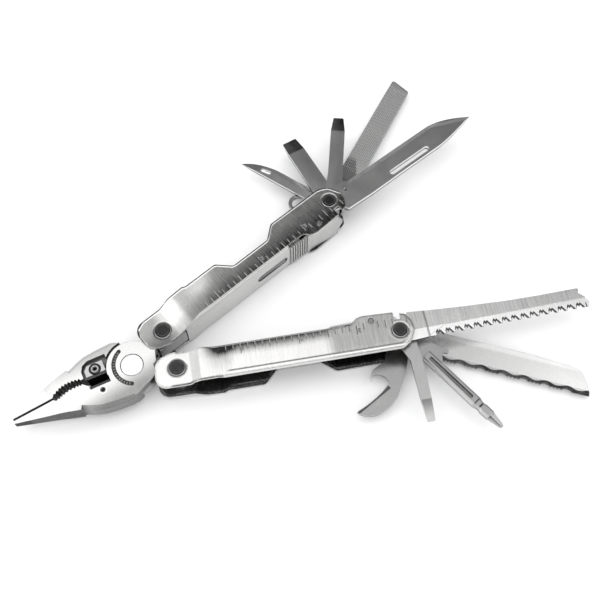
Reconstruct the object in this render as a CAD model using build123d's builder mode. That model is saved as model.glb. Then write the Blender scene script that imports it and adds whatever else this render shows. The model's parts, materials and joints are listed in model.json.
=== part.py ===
"""Pliers multi-tool, open: two jaws, two channel handles with sliding locks, folding implements.

The tool lies flat with world z across its thickness and the origin at the centre of the
footprint on the resting plane. All in mm and degrees; angles run counterclockwise from +x,
seen from above. Handle A (side +1) has its local z up, handle B (side -1) has it down.
"""
from build123d import *
import os
from math import sin, cos, radians, degrees, atan2, hypot, pi

os.makedirs("parts", exist_ok=True)

# ================================================================ driving dimensions
JAW_PIVOT = (-75.54, -66.81, 8.95)     # world position; z is the mid plane of the tool

LEVER = 19.69                          # jaw pivot to head pivot of a handle
HEAD_ANGLE_A, HEAD_ANGLE_B = 51.33, -4.72    # directions of the head pivots from the jaw pivot
HANDLE_ANGLE_A, HANDLE_ANGLE_B = 41.42, 10.01
HANDLE_L = 97.49                       # head pivot to tool pivot
JAW_ANGLE = 205.7

BODY_H = 8.95                          # handle half thickness along the body
HEAD_H = 6.40                          # handle half thickness at the head end
SHEET = 1.10                           # folded sheet thickness
BACK_Y = -6.40                         # outer face of the folded back
BACK_END = 67.6                        # end of the full-width folded back
FOLD_R = 1.7                           # outer bend radius of the folded sheet
JAW_T = 4.90                           # jaw half thickness

MAIN_PIN_R, MAIN_FLANGE_R = 3.60, 5.00
FLANGE_SEAT = 1.0                      # depth of the flange seats in the jaws
FLANGE_PROUD = 0.08                    # how far the flanges stand out of the jaws
HEAD_PIN_R, HEAD_DISC_R = 2.90, 3.70
TOOL_PIN_R, TOOL_DISC_R = 2.40, 3.45
LOCK_PIN_AT, LOCK_PIN_R = (85.8, -6.3), 1.2
RUN = 0.05                             # radial running clearance
TANG_R = 5.2                           # round end of the folding implements
REACH = 12                             # half length of a cut right through a handle


def polar(radius, angle, start=(0, 0)):
    """Point at a distance and direction from start."""
    return start[0] + radius * cos(radians(angle)), start[1] + radius * sin(radians(angle))


# pivots, relative to the jaw pivot
HEAD_A = polar(LEVER, HEAD_ANGLE_A)
HEAD_B = polar(LEVER, HEAD_ANGLE_B)
TOOL_A = polar(HANDLE_L, HANDLE_ANGLE_A, HEAD_A)
TOOL_B = polar(HANDLE_L, HANDLE_ANGLE_B, HEAD_B)


def frame_plane(point, angle, side, z=0.0):
    """Plane at a point relative to the jaw pivot, x along angle, z up for side +1, else down."""
    px, py, pz = JAW_PIVOT
    return Plane(origin=(px + point[0], py + point[1], pz + z),
                 x_dir=(*polar(1, angle), 0), z_dir=(0, 0, side))


def upright_plane(base):
    """Plane with the x of base, y along minus its z, and its y as normal."""
    return Plane(origin=base.origin, x_dir=base.x_dir, z_dir=base.y_dir)


def save(builder, name):
    builder.part.label = name
    export_step(builder.part, f"parts/{name}.step")


# ================================================================ handle frames
# handle frame: x from head pivot to tool pivot, y from the folded back towards the open side,
# z across the channel
HANDLE_FRAMES = {
    "a": frame_plane(HEAD_A, HANDLE_ANGLE_A, 1),
    "b": frame_plane(HEAD_B, HANDLE_ANGLE_B, -1),
}

# side outline (x, y): one open edge for each wall, then the shared tool and head ends
VALLEY = [(-9.7, 1.0), (-9.7, 8.95), (4.5, 8.95), (11.0, 9.6), (18.4, 9.85), (20.2, 9.05),
          (36.6, 9.05), (42.6, 3.0), (62.3, 3.0), (68.8, 8.25), (97.5, 7.9)]
STRAIGHT = [(-9.7, 1.0), (-9.7, 8.5), (5.0, 8.5), (7.0, 7.9), (12.0, 8.2), (17.6, 8.2),
            (19.6, 8.55), (97.5, 8.4)]
TOOL_END = [(101.6, 5.6), (104.2, 0.6), (103.7, -3.6), (101.5, -7.2), (98.7, -8.0),
            (98.7, -4.9), (95.9, -4.9), (95.9, -8.5), (82.3, -9.0), (79.4, -8.3),
            (76.8, -5.5), (68.2, -5.3), (67.6, -6.4)]
HEAD_END = [(14.0, -6.4), (5.0, -7.1), (1.0, -7.4), (-3.0, -6.7), (-6.6, -5.3), (-9.0, -2.6)]

# rounded outline corners: (x, y), radius; some occur on one wall only
SOFT_CORNERS = [
    ((-9.7, 8.95), 5.2), ((-9.7, 8.5), 4.9), ((-9.7, 1.0), 3.0), ((4.5, 8.95), 4),
    ((11.0, 9.6), 6), ((18.4, 9.85), 0.8), ((20.2, 9.05), 0.8), ((36.6, 9.05), 2.2),
    ((42.6, 3.0), 2.2), ((62.3, 3.0), 2.2), ((68.8, 8.25), 2.2), ((101.6, 5.6), 3.5),
    ((97.5, 7.9), 5.0), ((97.5, 8.4), 5.0), ((104.2, 0.6), 2.5), ((103.7, -3.6), 2.5),
    ((101.5, -7.2), 2.0), ((82.3, -9.0), 3.0), ((79.4, -8.3), 1.5), ((76.8, -5.5), 1.5),
    ((1.0, -7.4), 3), ((-3.0, -6.7), 3), ((-6.6, -5.3), 2.5), ((-9.0, -2.6), 2.5),
]

# x, widening of each wall beyond the head end's half thickness
FLARE = [(4.6, 0.0), (6.4, 0.42), (8.2, 1.35), (9.8, 2.12), (11.4, 2.46), (13.2, 2.55)]
# x, bend radius of the fold: it fades out into the flare
FOLD_STATIONS = [(12.0, 0.15), (17.0, FOLD_R), (110.0, FOLD_R)]

# engraved scale
TICK_START, TICK_PITCH, TICK_W = 15.5, 3.175, 0.28     # eighth-inch pitch
ENGRAVE_DEPTH = 0.14
NUMERALS = {4: 1, 12: 2, 20: 3}        # tick number: numeral beside it
NUMERAL_Y, NUMERAL_H, STROKE = -3.5, 1.5, 0.26
NUMERAL_W = 0.55 * NUMERAL_H
NUMERAL_SEGMENTS = {1: "bc", 2: "abged", 3: "abgcd"}   # seven-segment letters


def numeral_strokes(numeral, x):
    """Stroke rectangles (centre x, centre y, width, height) of a block numeral starting at x."""
    y, h, w, t = NUMERAL_Y, NUMERAL_H, NUMERAL_W, STROKE
    segments = {
        "a": (x + w / 2, y + h, w + t, t),
        "g": (x + w / 2, y + h / 2, w + t, t),
        "d": (x + w / 2, y, w + t, t),
        "b": (x + w, y + 0.75 * h, t, h / 2),
        "e": (x, y + 0.25 * h, t, h / 2),
        "c": (x + w, y + 0.25 * h, t, h / 2),
    }
    return [segments[letter] for letter in NUMERAL_SEGMENTS[numeral]]


def scale_ticks():
    """Scale marks as (x, low y, high y), leaving out the head, lock pin and tool pivot."""
    ticks = []
    for k in range(28):
        x = TICK_START + TICK_PITCH * k
        if x < 19 or 95.0 < x < 99.5 or abs(x - LOCK_PIN_AT[0]) < 1.8:
            continue
        high = {4: -0.9, 0: -1.9}.get(k % 8, -2.7)
        low = -5.7 if x < 67 or x > 80 else -4.9
        ticks.append((x, low, high))
    return ticks


def build_walls_and_back(base):
    """Two flared walls and the folded back, before the side outline is cut."""
    upright = upright_plane(base)
    with BuildPart() as body:
        for wall in (1, -1):
            outer = [(x, -wall * (HEAD_H + d)) for x, d in FLARE]
            inner = [(x + 0.25, -wall * (HEAD_H + d - SHEET)) for x, d in FLARE]
            with BuildSketch(upright.offset(-REACH)):
                with BuildLine():
                    Line((-14, -wall * HEAD_H), outer[0])
                    Spline(*outer, tangents=[(1, 0), (1, 0)])
                    Polyline(outer[-1], (108, -wall * BODY_H), (108, -wall * (BODY_H - SHEET)),
                             inner[-1])
                    Spline(*reversed(inner), tangents=[(-1, 0), (-1, 0)])
                    Polyline(inner[0], (-14, -wall * (HEAD_H - SHEET)), (-14, -wall * HEAD_H))
                make_face()
            extrude(amount=2 * REACH)
        with BuildSketch(upright.offset(BACK_Y)):
            flare = [(x, HEAD_H + d - 0.001) for x, d in FLARE[2:]]
            with BuildLine():
                Spline(*[(x, -z) for x, z in flare])
                Polyline((flare[-1][0], -flare[-1][1]), (BACK_END, -BODY_H),
                         (BACK_END, BODY_H), flare[-1])
                Spline(*reversed(flare))
                Line(flare[0], (flare[0][0], -flare[0][1]))
            make_face()
        extrude(amount=SHEET)
    return body.part


def build_trough(base, body):
    """The body above the outer face of the back, with its two bends rounded."""
    with BuildPart() as trough:
        add(body)
        with BuildSketch(upright_plane(base).offset(-REACH)):
            with Locations((47.5, 0)):
                Rectangle(140, 40)
        extrude(amount=REACH + BACK_Y, mode=Mode.SUBTRACT)
        for wall in (1, -1):
            for stretch in zip(FOLD_STATIONS, FOLD_STATIONS[1:]):
                for x, r in stretch:
                    corner = Plane(origin=base.from_local_coords(Vector(x, 0, 0)),
                                   x_dir=base.y_dir, z_dir=base.x_dir)
                    cy, cz = BACK_Y + r, BODY_H - r
                    with BuildSketch(corner):
                        with BuildLine():
                            Polyline((BACK_Y, wall * cz), (BACK_Y - 0.4, wall * cz),
                                     (BACK_Y - 0.4, wall * (BODY_H + 0.4)),
                                     (cy, wall * (BODY_H + 0.4)), (cy, wall * BODY_H))
                            ThreePointArc((cy, wall * BODY_H),
                                          (cy - r * cos(pi / 4), wall * (cz + r * sin(pi / 4))),
                                          (BACK_Y, wall * cz))
                        make_face()
                loft(mode=Mode.SUBTRACT)
    return trough.part


def build_wall_ends(base, body):
    """The body with its walls at full depth beyond both ends of the folded back."""
    with BuildPart() as ends:
        add(body)
        with BuildSketch(upright_plane(base).offset(-REACH)):
            with Locations((BACK_END / 2, 0)):
                Rectangle(BACK_END, 40)
        extrude(amount=REACH + BACK_Y + 1.2, mode=Mode.SUBTRACT)
    return ends.part


def build_side_outline(base):
    """Block with the valley outline on the +z half and the straight one on the -z half."""
    with BuildPart() as outline:
        for start, open_edge in ((0, VALLEY), (-REACH, STRAIGHT)):
            with BuildSketch(base.offset(start)):
                with BuildLine():
                    Polyline(*open_edge, *TOOL_END, *HEAD_END, close=True)
                make_face()
                for (cx, cy), radius in SOFT_CORNERS:
                    hit = [v for v in vertices() if hypot(v.X - cx, v.Y - cy) < 0.02]
                    if hit:
                        fillet(hit, radius=radius)
            extrude(amount=REACH)
    return outline.part


def build_handle(base, name):
    upright = upright_plane(base)
    body = build_walls_and_back(base)
    trough = build_trough(base, body)
    ends = build_wall_ends(base, body)
    outline = build_side_outline(base)
    with BuildPart() as frame:
        add(trough)
        add(ends)
        add(outline, mode=Mode.INTERSECT)
        # tongue of the back running on under the sliding lock
        with BuildSketch(upright.offset(BACK_Y)):
            with Locations((70.4, 0)):
                Rectangle(7.6, 15.44)
        extrude(amount=SHEET)
        # inward lip on the straight wall's open edge
        with BuildSketch(base.offset(-BODY_H + SHEET - 0.02)):
            with BuildLine():
                Polyline((21.0, 6.2), (97.0, 6.0), (99.6, 5.2), (100.6, 6.2), (97.5, 8.2),
                         (21.0, 8.4), close=True)
            make_face()
        extrude(amount=0.62)
        rim = []
        for e in frame.edges():
            c = base.to_local_coords(e.center())
            if e.length > 60 and abs(c.Z + BODY_H) < 0.02 and c.Y > 7:
                rim.append(e)
        fillet(rim, radius=1.0)
        # slot in the back for the leaf of the lock spring
        with BuildSketch(upright.offset(BACK_Y - 0.1)):
            with Locations((57.6, 0.7)):
                SlotOverall(17.6, 4.4)
        extrude(amount=SHEET + 0.2, mode=Mode.SUBTRACT)
        # countersunk pivot holes: x, disc radius, half thickness there
        for x, disc_r, half in ((0, HEAD_DISC_R, HEAD_H), (HANDLE_L, TOOL_DISC_R, BODY_H)):
            with BuildSketch(base.offset(-REACH)):
                with Locations((x, 0)):
                    Circle(disc_r + RUN)
            extrude(amount=2 * REACH, mode=Mode.SUBTRACT)
            for face in (1, -1):
                with BuildSketch(base.offset(face * (half + 0.001))):
                    with Locations((x, 0)):
                        Circle(disc_r + RUN + 0.5)
                extrude(amount=-face * 0.5, taper=45, mode=Mode.SUBTRACT)
        # lock cross-pin hole
        with BuildSketch(base.offset(-REACH)):
            with Locations(LOCK_PIN_AT):
                Circle(LOCK_PIN_R + RUN)
        extrude(amount=2 * REACH, mode=Mode.SUBTRACT)
        # scale engraved along the back edge of both walls
        for face in (1, -1):
            with BuildSketch(base.offset(face * (BODY_H - ENGRAVE_DEPTH))):
                for x, low, high in scale_ticks():
                    with Locations((x, (low + high) / 2)):
                        Rectangle(TICK_W, high - low)
                for k, numeral in NUMERALS.items():
                    x = TICK_START + TICK_PITCH * k + 0.8
                    for cx, cy, w, h in numeral_strokes(numeral, x):
                        with Locations((cx if face > 0 else 2 * x + NUMERAL_W - cx, cy)):
                            Rectangle(w, h)
            extrude(amount=face * 0.3, mode=Mode.SUBTRACT)
    save(frame, name)


# ================================================================ handle fittings
def build_slider(base, name):
    """Sliding lock: ribbed thumb plate over the folded back, thick body and blunt nose."""
    upright = upright_plane(base)
    half_w, end_x = 7.6, 96.0
    with BuildPart() as slider:
        with BuildSketch(base.offset(-half_w)):
            with BuildLine():
                Polyline((68.2, -6.44), (68.2, -7.15), (78.6, -7.6), (89.5, -8.55),
                         (end_x, -8.7), (end_x, -5.45), (78.7, -5.45), (78.7, -6.44),
                         close=True)
            make_face()
        extrude(amount=2 * half_w)
        # nose reaching towards the implements
        with BuildSketch(upright.offset(-8.7)):
            with BuildLine():
                Polyline((95.8, -5.0), (98.5, -1.6), (98.5, 1.6), (95.8, 5.0), close=True)
            make_face()
        extrude(amount=2.2)
        # small upright tabs at the walls' notches
        with BuildSketch(upright.offset(-9.5)):
            with Locations((96.7, -7.1), (96.7, 7.1)):
                Rectangle(1.5, 0.9)
        extrude(amount=2.4)
        # grooves between the thumb ribs, following the slope of the plate
        with BuildSketch(base.offset(-9)):
            for k in range(7):
                x = 69.25 + 1.36 * k
                surface_y = -7.15 - 0.45 * (x - 68.2) / 10.4
                with Locations((x, surface_y - 0.05)):
                    Rectangle(0.7, 0.95)
        extrude(amount=18, mode=Mode.SUBTRACT)
        # slot for the cross pin
        with BuildSketch(base.offset(-9)):
            with Locations((LOCK_PIN_AT[0] + 2.0, LOCK_PIN_AT[1])):
                Rectangle(7.0, 2.66)
        extrude(amount=18, mode=Mode.SUBTRACT)
        corners = []
        for e in slider.edges():
            c = base.to_local_coords(e.center())
            if abs(c.X - end_x) < 0.05 and e.length > 2.5 and abs(abs(c.Z) - half_w) < 0.05:
                corners.append(e)
        chamfer(corners, length=1.2)
    save(slider, name)


def build_lock_spring(base, name):
    """Leaf lying in the slot of the folded back, headward of the slider."""
    leaf_z, half_w = -0.7, 1.7
    with BuildPart() as leaf:
        with BuildSketch(base.offset(leaf_z - half_w)):
            with BuildLine():
                Polyline((49.5, -5.36), (49.5, -6.3), (57.5, -6.16), (65.1, -6.38),
                         (65.1, -5.6), (57.5, -5.4), close=True)
            make_face()
        extrude(amount=2 * half_w)
        # the leaf narrows away from the slider
        for edge in (1, -1):
            with BuildSketch(upright_plane(base).offset(-9)):
                with BuildLine():
                    Polyline((49.0, -leaf_z + edge * 0.6), (65.4, -leaf_z + edge * 1.7),
                             (65.4, -leaf_z + edge * 3.0), (49.0, -leaf_z + edge * 3.0),
                             close=True)
                make_face()
            extrude(amount=6, mode=Mode.SUBTRACT)
    save(leaf, name)


def build_head_spring(base, name):
    half_w = 4.5
    with BuildPart() as leaf:
        with BuildSketch(base.offset(-half_w)):
            with BuildLine():
                Polyline((-6.0, -5.35), (-6.3, -6.0), (-5.4, -6.45), (7.7, -6.36),
                         (7.7, -5.28), (16.0, -5.28), (16.0, -5.0), (6.0, -5.0),
                         (5.2, -5.32), close=True)
            make_face()
        extrude(amount=2 * half_w)
    save(leaf, name)


def build_lock_pin(base, name):
    with BuildPart() as pin:
        with BuildSketch(base.offset(-BODY_H)):
            with Locations(LOCK_PIN_AT):
                Circle(LOCK_PIN_R)
        extrude(amount=2 * BODY_H)
        chamfer(pin.edges().filter_by(GeomType.CIRCLE), length=0.25)
    save(pin, name)


def build_pivot(base, x, shank_r, disc_r, half, name):
    """Shank with a disc in each wall; half is the handle's half thickness there."""
    disc_t = SHEET - 0.02
    with BuildPart() as pin:
        for start in (-half, half - disc_t):
            with BuildSketch(base.offset(start)):
                with Locations((x, 0)):
                    Circle(disc_r)
            extrude(amount=disc_t)
        with BuildSketch(base.offset(-half)):
            with Locations((x, 0)):
                Circle(shank_r)
        extrude(amount=2 * half)
        rim = [e for e in pin.edges().filter_by(GeomType.CIRCLE)
               if abs(abs(base.to_local_coords(e.center()).Z) - half) < 0.01]
        chamfer(rim, length=0.2)
        # shallow ring groove in each end
        for face in (1, -1):
            with BuildSketch(base.offset(face * (half - 0.15))):
                with Locations((x, 0)):
                    Circle(disc_r - 0.9)
                    Circle(disc_r - 1.25, mode=Mode.SUBTRACT)
            extrude(amount=face * 0.4, mode=Mode.SUBTRACT)
    save(pin, name)


# washers between neighbouring implements: low and high local z, one solid per gap
WASHER_LEVELS = {
    "a": [(-7.8, -7.0), (-5.05, -3.95), (-2.35, -2.05), (-0.15, 0.0), (2.28, 2.47),
          (4.73, 5.07), (7.63, 7.82)],
    "b": [(-7.82, -6.93), (-5.07, -4.73), (-2.87, -1.8), (0.42, 3.27), (4.93, 5.07),
          (7.63, 7.82)],
}


def build_washers(base, levels, name):
    with BuildPart() as stack:
        for low, high in levels:
            with BuildSketch(base.offset(low)):
                with Locations((HANDLE_L, 0)):
                    Circle(4.5)
                    Circle(TOOL_PIN_R + RUN, mode=Mode.SUBTRACT)
            extrude(amount=high - low)
    save(stack, name)


for tag, base in HANDLE_FRAMES.items():
    build_handle(base, f"handle_{tag}_frame")
    build_slider(base, f"lock_slider_{tag}")
    build_lock_spring(base, f"lock_spring_{tag}")
    build_head_spring(base, f"head_spring_{tag}")
    build_lock_pin(base, f"lock_pin_{tag}")
    build_pivot(base, 0.0, HEAD_PIN_R, HEAD_DISC_R, HEAD_H, f"head_pivot_{tag}")
    build_pivot(base, HANDLE_L, TOOL_PIN_R, TOOL_DISC_R, BODY_H, f"tool_pivot_{tag}")
    build_washers(base, WASHER_LEVELS[tag], f"tool_washers_{tag}")

# ================================================================ jaws
# jaw frame: origin on the jaw pivot, u along the nose, v towards handle A's side, z down;
# side +1 is the upper jaw (v > 0), side -1 the lower jaw (v < 0)
JAW_FRAME = frame_plane((0, 0), JAW_ANGLE, -1)
EAR_R, EAR_CUT_R = 11.0, 12.1          # lap joint radii
LAP_GAP = 0.03                         # each ear's distance from the mid plane
OVERCUT = 0.1                          # how far cuts reach past the jaw faces


def tooth_row(points, pitch, root_shift):
    """Teeth with tips on the line through points and roots shifted in v between them."""
    row = []
    for a, b in zip(points, points[1:]):
        n = max(1, int(round(hypot(b[0] - a[0], b[1] - a[1]) / pitch)))
        for i in range(n):
            for t, shift in ((i / n, 0), ((i + 0.5) / n, root_shift)):
                row.append((a[0] + (b[0] - a[0]) * t, a[1] + (b[1] - a[1]) * t + shift))
    row.append(points[-1])
    return row


# tip lines (u, v) of the coarse grip teeth and the fine nose teeth
GRIP_PITCH, NOSE_PITCH = 1.5, 0.72
LOWER_GRIP = [(22.4, 1.0), (24.8, 1.2), (28.2, 1.0), (31.2, 0.1), (33.6, -0.75), (35.6, -0.45)]
UPPER_GRIP = [(22.2, 2.8), (25.2, 3.5), (28.2, 3.6), (31.2, 3.0), (34.0, 1.8), (35.8, 0.6)]
LOWER_NOSE = [(36.3, -0.17), (54.0, -0.95)]
UPPER_NOSE = [(36.3, 0.42), (54.1, -0.4)]

# jaw outlines (u, v): nose tip, outer edge back to the pivot, mouth, teeth
LOWER_OUTLINE = [
    (54.5, -1.2), (54.3, -2.35), (45.0, -4.7), (35.0, -7.2), (25.0, -10.1), (21.5, -11.9),
    (18.0, -13.1), (12.0, -13.9), (5.6, -14.3), (1.2, -12.6), (-1.5, -11.2), (-6.0, -9.3),
    (-8.0, -5.0), (0.0, 0.0), (9.0, -1.9), (10.4, -2.1), (18.6, -2.1), (20.6, -0.7),
    *tooth_row(LOWER_GRIP, GRIP_PITCH, -0.8),
    *tooth_row(LOWER_NOSE, NOSE_PITCH, -0.3),
]
UPPER_OUTLINE = [
    (54.5, 0.1), (54.2, 0.75), (45.0, 4.0), (35.0, 7.0), (25.0, 10.05), (21.5, 11.8),
    (18.0, 13.1), (12.0, 13.9), (5.2, 14.3), (2.6, 12.4), (-1.5, 11.2), (-6.0, 9.3),
    (-8.0, 5.0), (0.0, 0.0), (9.6, 3.0), (10.4, 3.0), (20.8, 3.0),
    *tooth_row(UPPER_GRIP, GRIP_PITCH, 0.85),
    *tooth_row(UPPER_NOSE, NOSE_PITCH, 0.3),
]

# bevelled shoulder line (u, v), v away from the mouth
SHOULDER = [(5.2, 14.35), (12.0, 13.9), (18.0, 13.1), (21.5, 11.85), (25.0, 10.2)]

# cutting insert, its pocket and its screw (u, v), v away from the mouth
CUT_POCKET = [(9.0, 9.9), (17.0, 9.9), (19.6, 8.6), (20.9, 6.0), (20.9, 2.0), (9.0, 2.0)]
INSERT = [(11.0, 7.9), (18.0, 7.9), (19.7, 6.0), (19.7, 3.0), (11.0, 3.0)]
INSERT_START, INSERT_END = 11.0, 19.7
INSERT_FACE = 4.45                     # outer face of the insert from the mid plane
CUT_SCREW = (15.1, 5.2)
POCKET_FLOOR = 2.1


def layer_start(face, inner, outer):
    """Low local z of the layer inner..outer from the mid plane; face +1 is the top one."""
    return -outer if face > 0 else inner


def build_jaw(side, outline, tang_at):
    """Jaw whose tang reaches the head pivot tang_at; the lower jaw's ear is the top layer."""
    tang = JAW_FRAME.to_local_coords(
        Vector(JAW_PIVOT[0] + tang_at[0], JAW_PIVOT[1] + tang_at[1], JAW_PIVOT[2]))
    tang_angle = degrees(atan2(tang.Y, tang.X))
    ca, sa = polar(1, tang_angle)

    def arm(along, across):
        return (along * ca - across * sa, along * sa + across * ca)

    face = JAW_T + OVERCUT
    screw_at = (CUT_SCREW[0], side * CUT_SCREW[1])
    with BuildPart() as jaw:
        with BuildSketch(JAW_FRAME.offset(-JAW_T)):
            with BuildLine():
                Polyline(*outline, close=True)
            make_face()
        extrude(amount=2 * JAW_T)
        with BuildSketch(JAW_FRAME.offset(-JAW_T)):
            with BuildLine():
                Polyline(arm(2, 7.4), arm(8.0, 6.6), arm(LEVER - 8.6, 3.2), arm(LEVER, 3.2),
                         arm(LEVER, -3.2), arm(LEVER - 8.6, -3.2), arm(8.0, -6.6),
                         arm(2, -7.4), close=True)
            make_face()
            with Locations(arm(LEVER, 0)):
                Circle(4.7)
        extrude(amount=2 * JAW_T)
        # slim the nose across its thickness
        across = Plane(origin=JAW_FRAME.origin, x_dir=JAW_FRAME.x_dir, z_dir=JAW_FRAME.y_dir)
        for s in (1, -1):
            with BuildSketch(across.offset(-20)):
                with BuildLine():
                    Polyline((32.0, s * 4.9), (35.0, s * 4.45), (38.0, s * 3.9),
                             (54.7, s * 2.0), (60, s * 2.0), (60, s * 8), (32.0, s * 8),
                             close=True)
                make_face()
            extrude(amount=40, mode=Mode.SUBTRACT)
        # lap joint: clear the other jaw's ear, then add this jaw's own ear
        with BuildSketch(JAW_FRAME.offset(layer_start(side, -LAP_GAP, face))):
            Circle(EAR_CUT_R)
        extrude(amount=face + LAP_GAP, mode=Mode.SUBTRACT)
        with BuildSketch(JAW_FRAME.offset(layer_start(-side, LAP_GAP, JAW_T))):
            Circle(EAR_R)
            with Locations((-14.4, 0)):
                Rectangle(12.0, 30, mode=Mode.SUBTRACT)
        extrude(amount=JAW_T - LAP_GAP)
        # pivot bore, head pivot bore and flange seat
        with BuildSketch(JAW_FRAME.offset(-8)):
            Circle(MAIN_PIN_R + RUN)
            with Locations(arm(LEVER, 0)):
                Circle(HEAD_PIN_R + RUN)
        extrude(amount=16, mode=Mode.SUBTRACT)
        with BuildSketch(JAW_FRAME.offset(layer_start(-side, JAW_T - FLANGE_SEAT, face))):
            Circle(MAIN_FLANGE_R + 0.06)
        extrude(amount=FLANGE_SEAT + OVERCUT, mode=Mode.SUBTRACT)
        # insert pocket: in the top face of the upper jaw, the bottom face of the lower
        with BuildSketch(JAW_FRAME.offset(layer_start(side, POCKET_FLOOR, face))):
            with BuildLine():
                Polyline(*[(u, v * side) for u, v in CUT_POCKET], close=True)
            make_face()
        extrude(amount=face - POCKET_FLOOR, mode=Mode.SUBTRACT)
        # through hole for the insert screw
        with BuildSketch(JAW_FRAME.offset(-8)):
            with Locations(screw_at):
                Circle(1.25)
        extrude(amount=16, mode=Mode.SUBTRACT)
        # relief in line with the insert's edge
        with BuildSketch(JAW_FRAME.offset(-8)):
            with BuildLine():
                Polyline((10.7, 0.0), (19.9, 0.0), (19.9, side * 3.02), (10.7, side * 3.02),
                         close=True)
            make_face()
        extrude(amount=16, mode=Mode.SUBTRACT)
    # bevelled shoulders: one wedge along each stretch of the shoulder line, at both faces
    with BuildPart() as shaped:
        add(jaw.part)
        for (u0, v0), (u1, v1) in zip(SHOULDER, SHOULDER[1:]):
            along = Vector(u1 - u0, side * (v1 - v0), 0).normalized()
            outward = Vector(0, 0, 1).cross(along) * side
            start = JAW_FRAME.from_local_coords(Vector(u0, side * v0, 0) - along * 1.5)
            wedge = Plane(origin=start,
                          x_dir=JAW_FRAME.from_local_coords(outward) - JAW_FRAME.origin,
                          z_dir=JAW_FRAME.from_local_coords(along) - JAW_FRAME.origin)
            for s in (1, -1):
                with BuildSketch(wedge):
                    with BuildLine():
                        Polyline((0.05, s * 2.75), (4.0, s * 2.6), (4.0, s * 5.2),
                                 (-2.2, s * 5.2), (-1.9, s * 4.9), close=True)
                    make_face()
                extrude(amount=hypot(u1 - u0, v1 - v0) + 3.0, mode=Mode.SUBTRACT)
    return shaped


save(build_jaw(1, UPPER_OUTLINE, HEAD_B), "jaw_upper")

# lower jaw: arc groove on the top face with a row of raised dashes
GROOVE_CENTRE, GROOVE_R, GROOVE_DEPTH = (-1.3, 0.1), 9.1, 0.45
lower_blank = build_jaw(-1, LOWER_OUTLINE, HEAD_A)
groove_line = CenterArc((0, 0), GROOVE_R, -62, 124)
with BuildPart() as jaw_lower:
    add(lower_blank.part)
    with BuildSketch(JAW_FRAME.offset(-JAW_T)):
        with Locations(GROOVE_CENTRE):
            SlotArc(groove_line, 1.8)
    extrude(amount=GROOVE_DEPTH, both=True, mode=Mode.SUBTRACT)
    with BuildSketch(JAW_FRAME.offset(GROOVE_DEPTH - JAW_T)):
        for k in range(15):
            angle = -56 + 8.0 * k
            dash_at = polar(GROOVE_R, angle, GROOVE_CENTRE)
            with Locations(Location((*dash_at, 0), (0, 0, angle))):
                Rectangle(0.95, 0.34)
    extrude(amount=0.25, both=True)
save(jaw_lower, "jaw_lower")

# ---- main pivot: flanged pin from below, cap on top
with BuildPart() as main_pivot:
    with BuildSketch(frame_plane((0, 0), 0, 1, -JAW_T - FLANGE_PROUD)):
        Circle(MAIN_FLANGE_R)
    extrude(amount=1.0)
    with BuildSketch(frame_plane((0, 0), 0, 1, -JAW_T)):
        Circle(MAIN_PIN_R)
    extrude(amount=2 * JAW_T - 1.04)
    chamfer([e for e in main_pivot.edges().filter_by(GeomType.CIRCLE)
             if abs(e.center().Z - (JAW_PIVOT[2] - JAW_T - FLANGE_PROUD)) < 0.01], length=0.3)
save(main_pivot, "main_pivot")

with BuildPart() as main_pivot_cap:
    with BuildSketch(frame_plane((0, 0), 0, 1, JAW_T - FLANGE_SEAT)):
        Circle(MAIN_FLANGE_R)
    extrude(amount=FLANGE_SEAT + FLANGE_PROUD)
    chamfer([e for e in main_pivot_cap.edges().filter_by(GeomType.CIRCLE)
             if e.center().Z > JAW_PIVOT[2] + JAW_T], length=0.35)
save(main_pivot_cap, "main_pivot_cap")


# ---- cutting inserts and their screws
def build_cutter(side, name):
    screw_at = (CUT_SCREW[0], side * CUT_SCREW[1])
    insert_floor = POCKET_FLOOR + 0.02
    section = Plane(origin=JAW_FRAME.from_local_coords(Vector(INSERT_START, 0, 0)),
                    x_dir=JAW_FRAME.y_dir, z_dir=JAW_FRAME.x_dir)
    with BuildPart() as insert:
        with BuildSketch(JAW_FRAME.offset(layer_start(side, insert_floor, INSERT_FACE))):
            with BuildLine():
                Polyline(*[(u, side * v) for u, v in INSERT], close=True)
            make_face()
        extrude(amount=INSERT_FACE - insert_floor)
        # blade tapering to its edge at the mouth
        with BuildSketch(section):
            with BuildLine():
                Polyline((side * 3.0, -INSERT_FACE), (side * 1.75, -INSERT_FACE),
                         (side * 0.12, -0.15), (side * 0.12, 0.15),
                         (side * 1.75, INSERT_FACE), (side * 3.0, INSERT_FACE), close=True)
            make_face()
        extrude(amount=INSERT_END - INSERT_START)
        # screw hole and counterbore
        with BuildSketch(JAW_FRAME.offset(-8)):
            with Locations(screw_at):
                Circle(1.3)
        extrude(amount=16, mode=Mode.SUBTRACT)
        with BuildSketch(JAW_FRAME.offset(layer_start(side, 3.3, 4.5))):
            with Locations(screw_at):
                Circle(2.6)
        extrude(amount=1.2, mode=Mode.SUBTRACT)
    save(insert, name)


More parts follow.
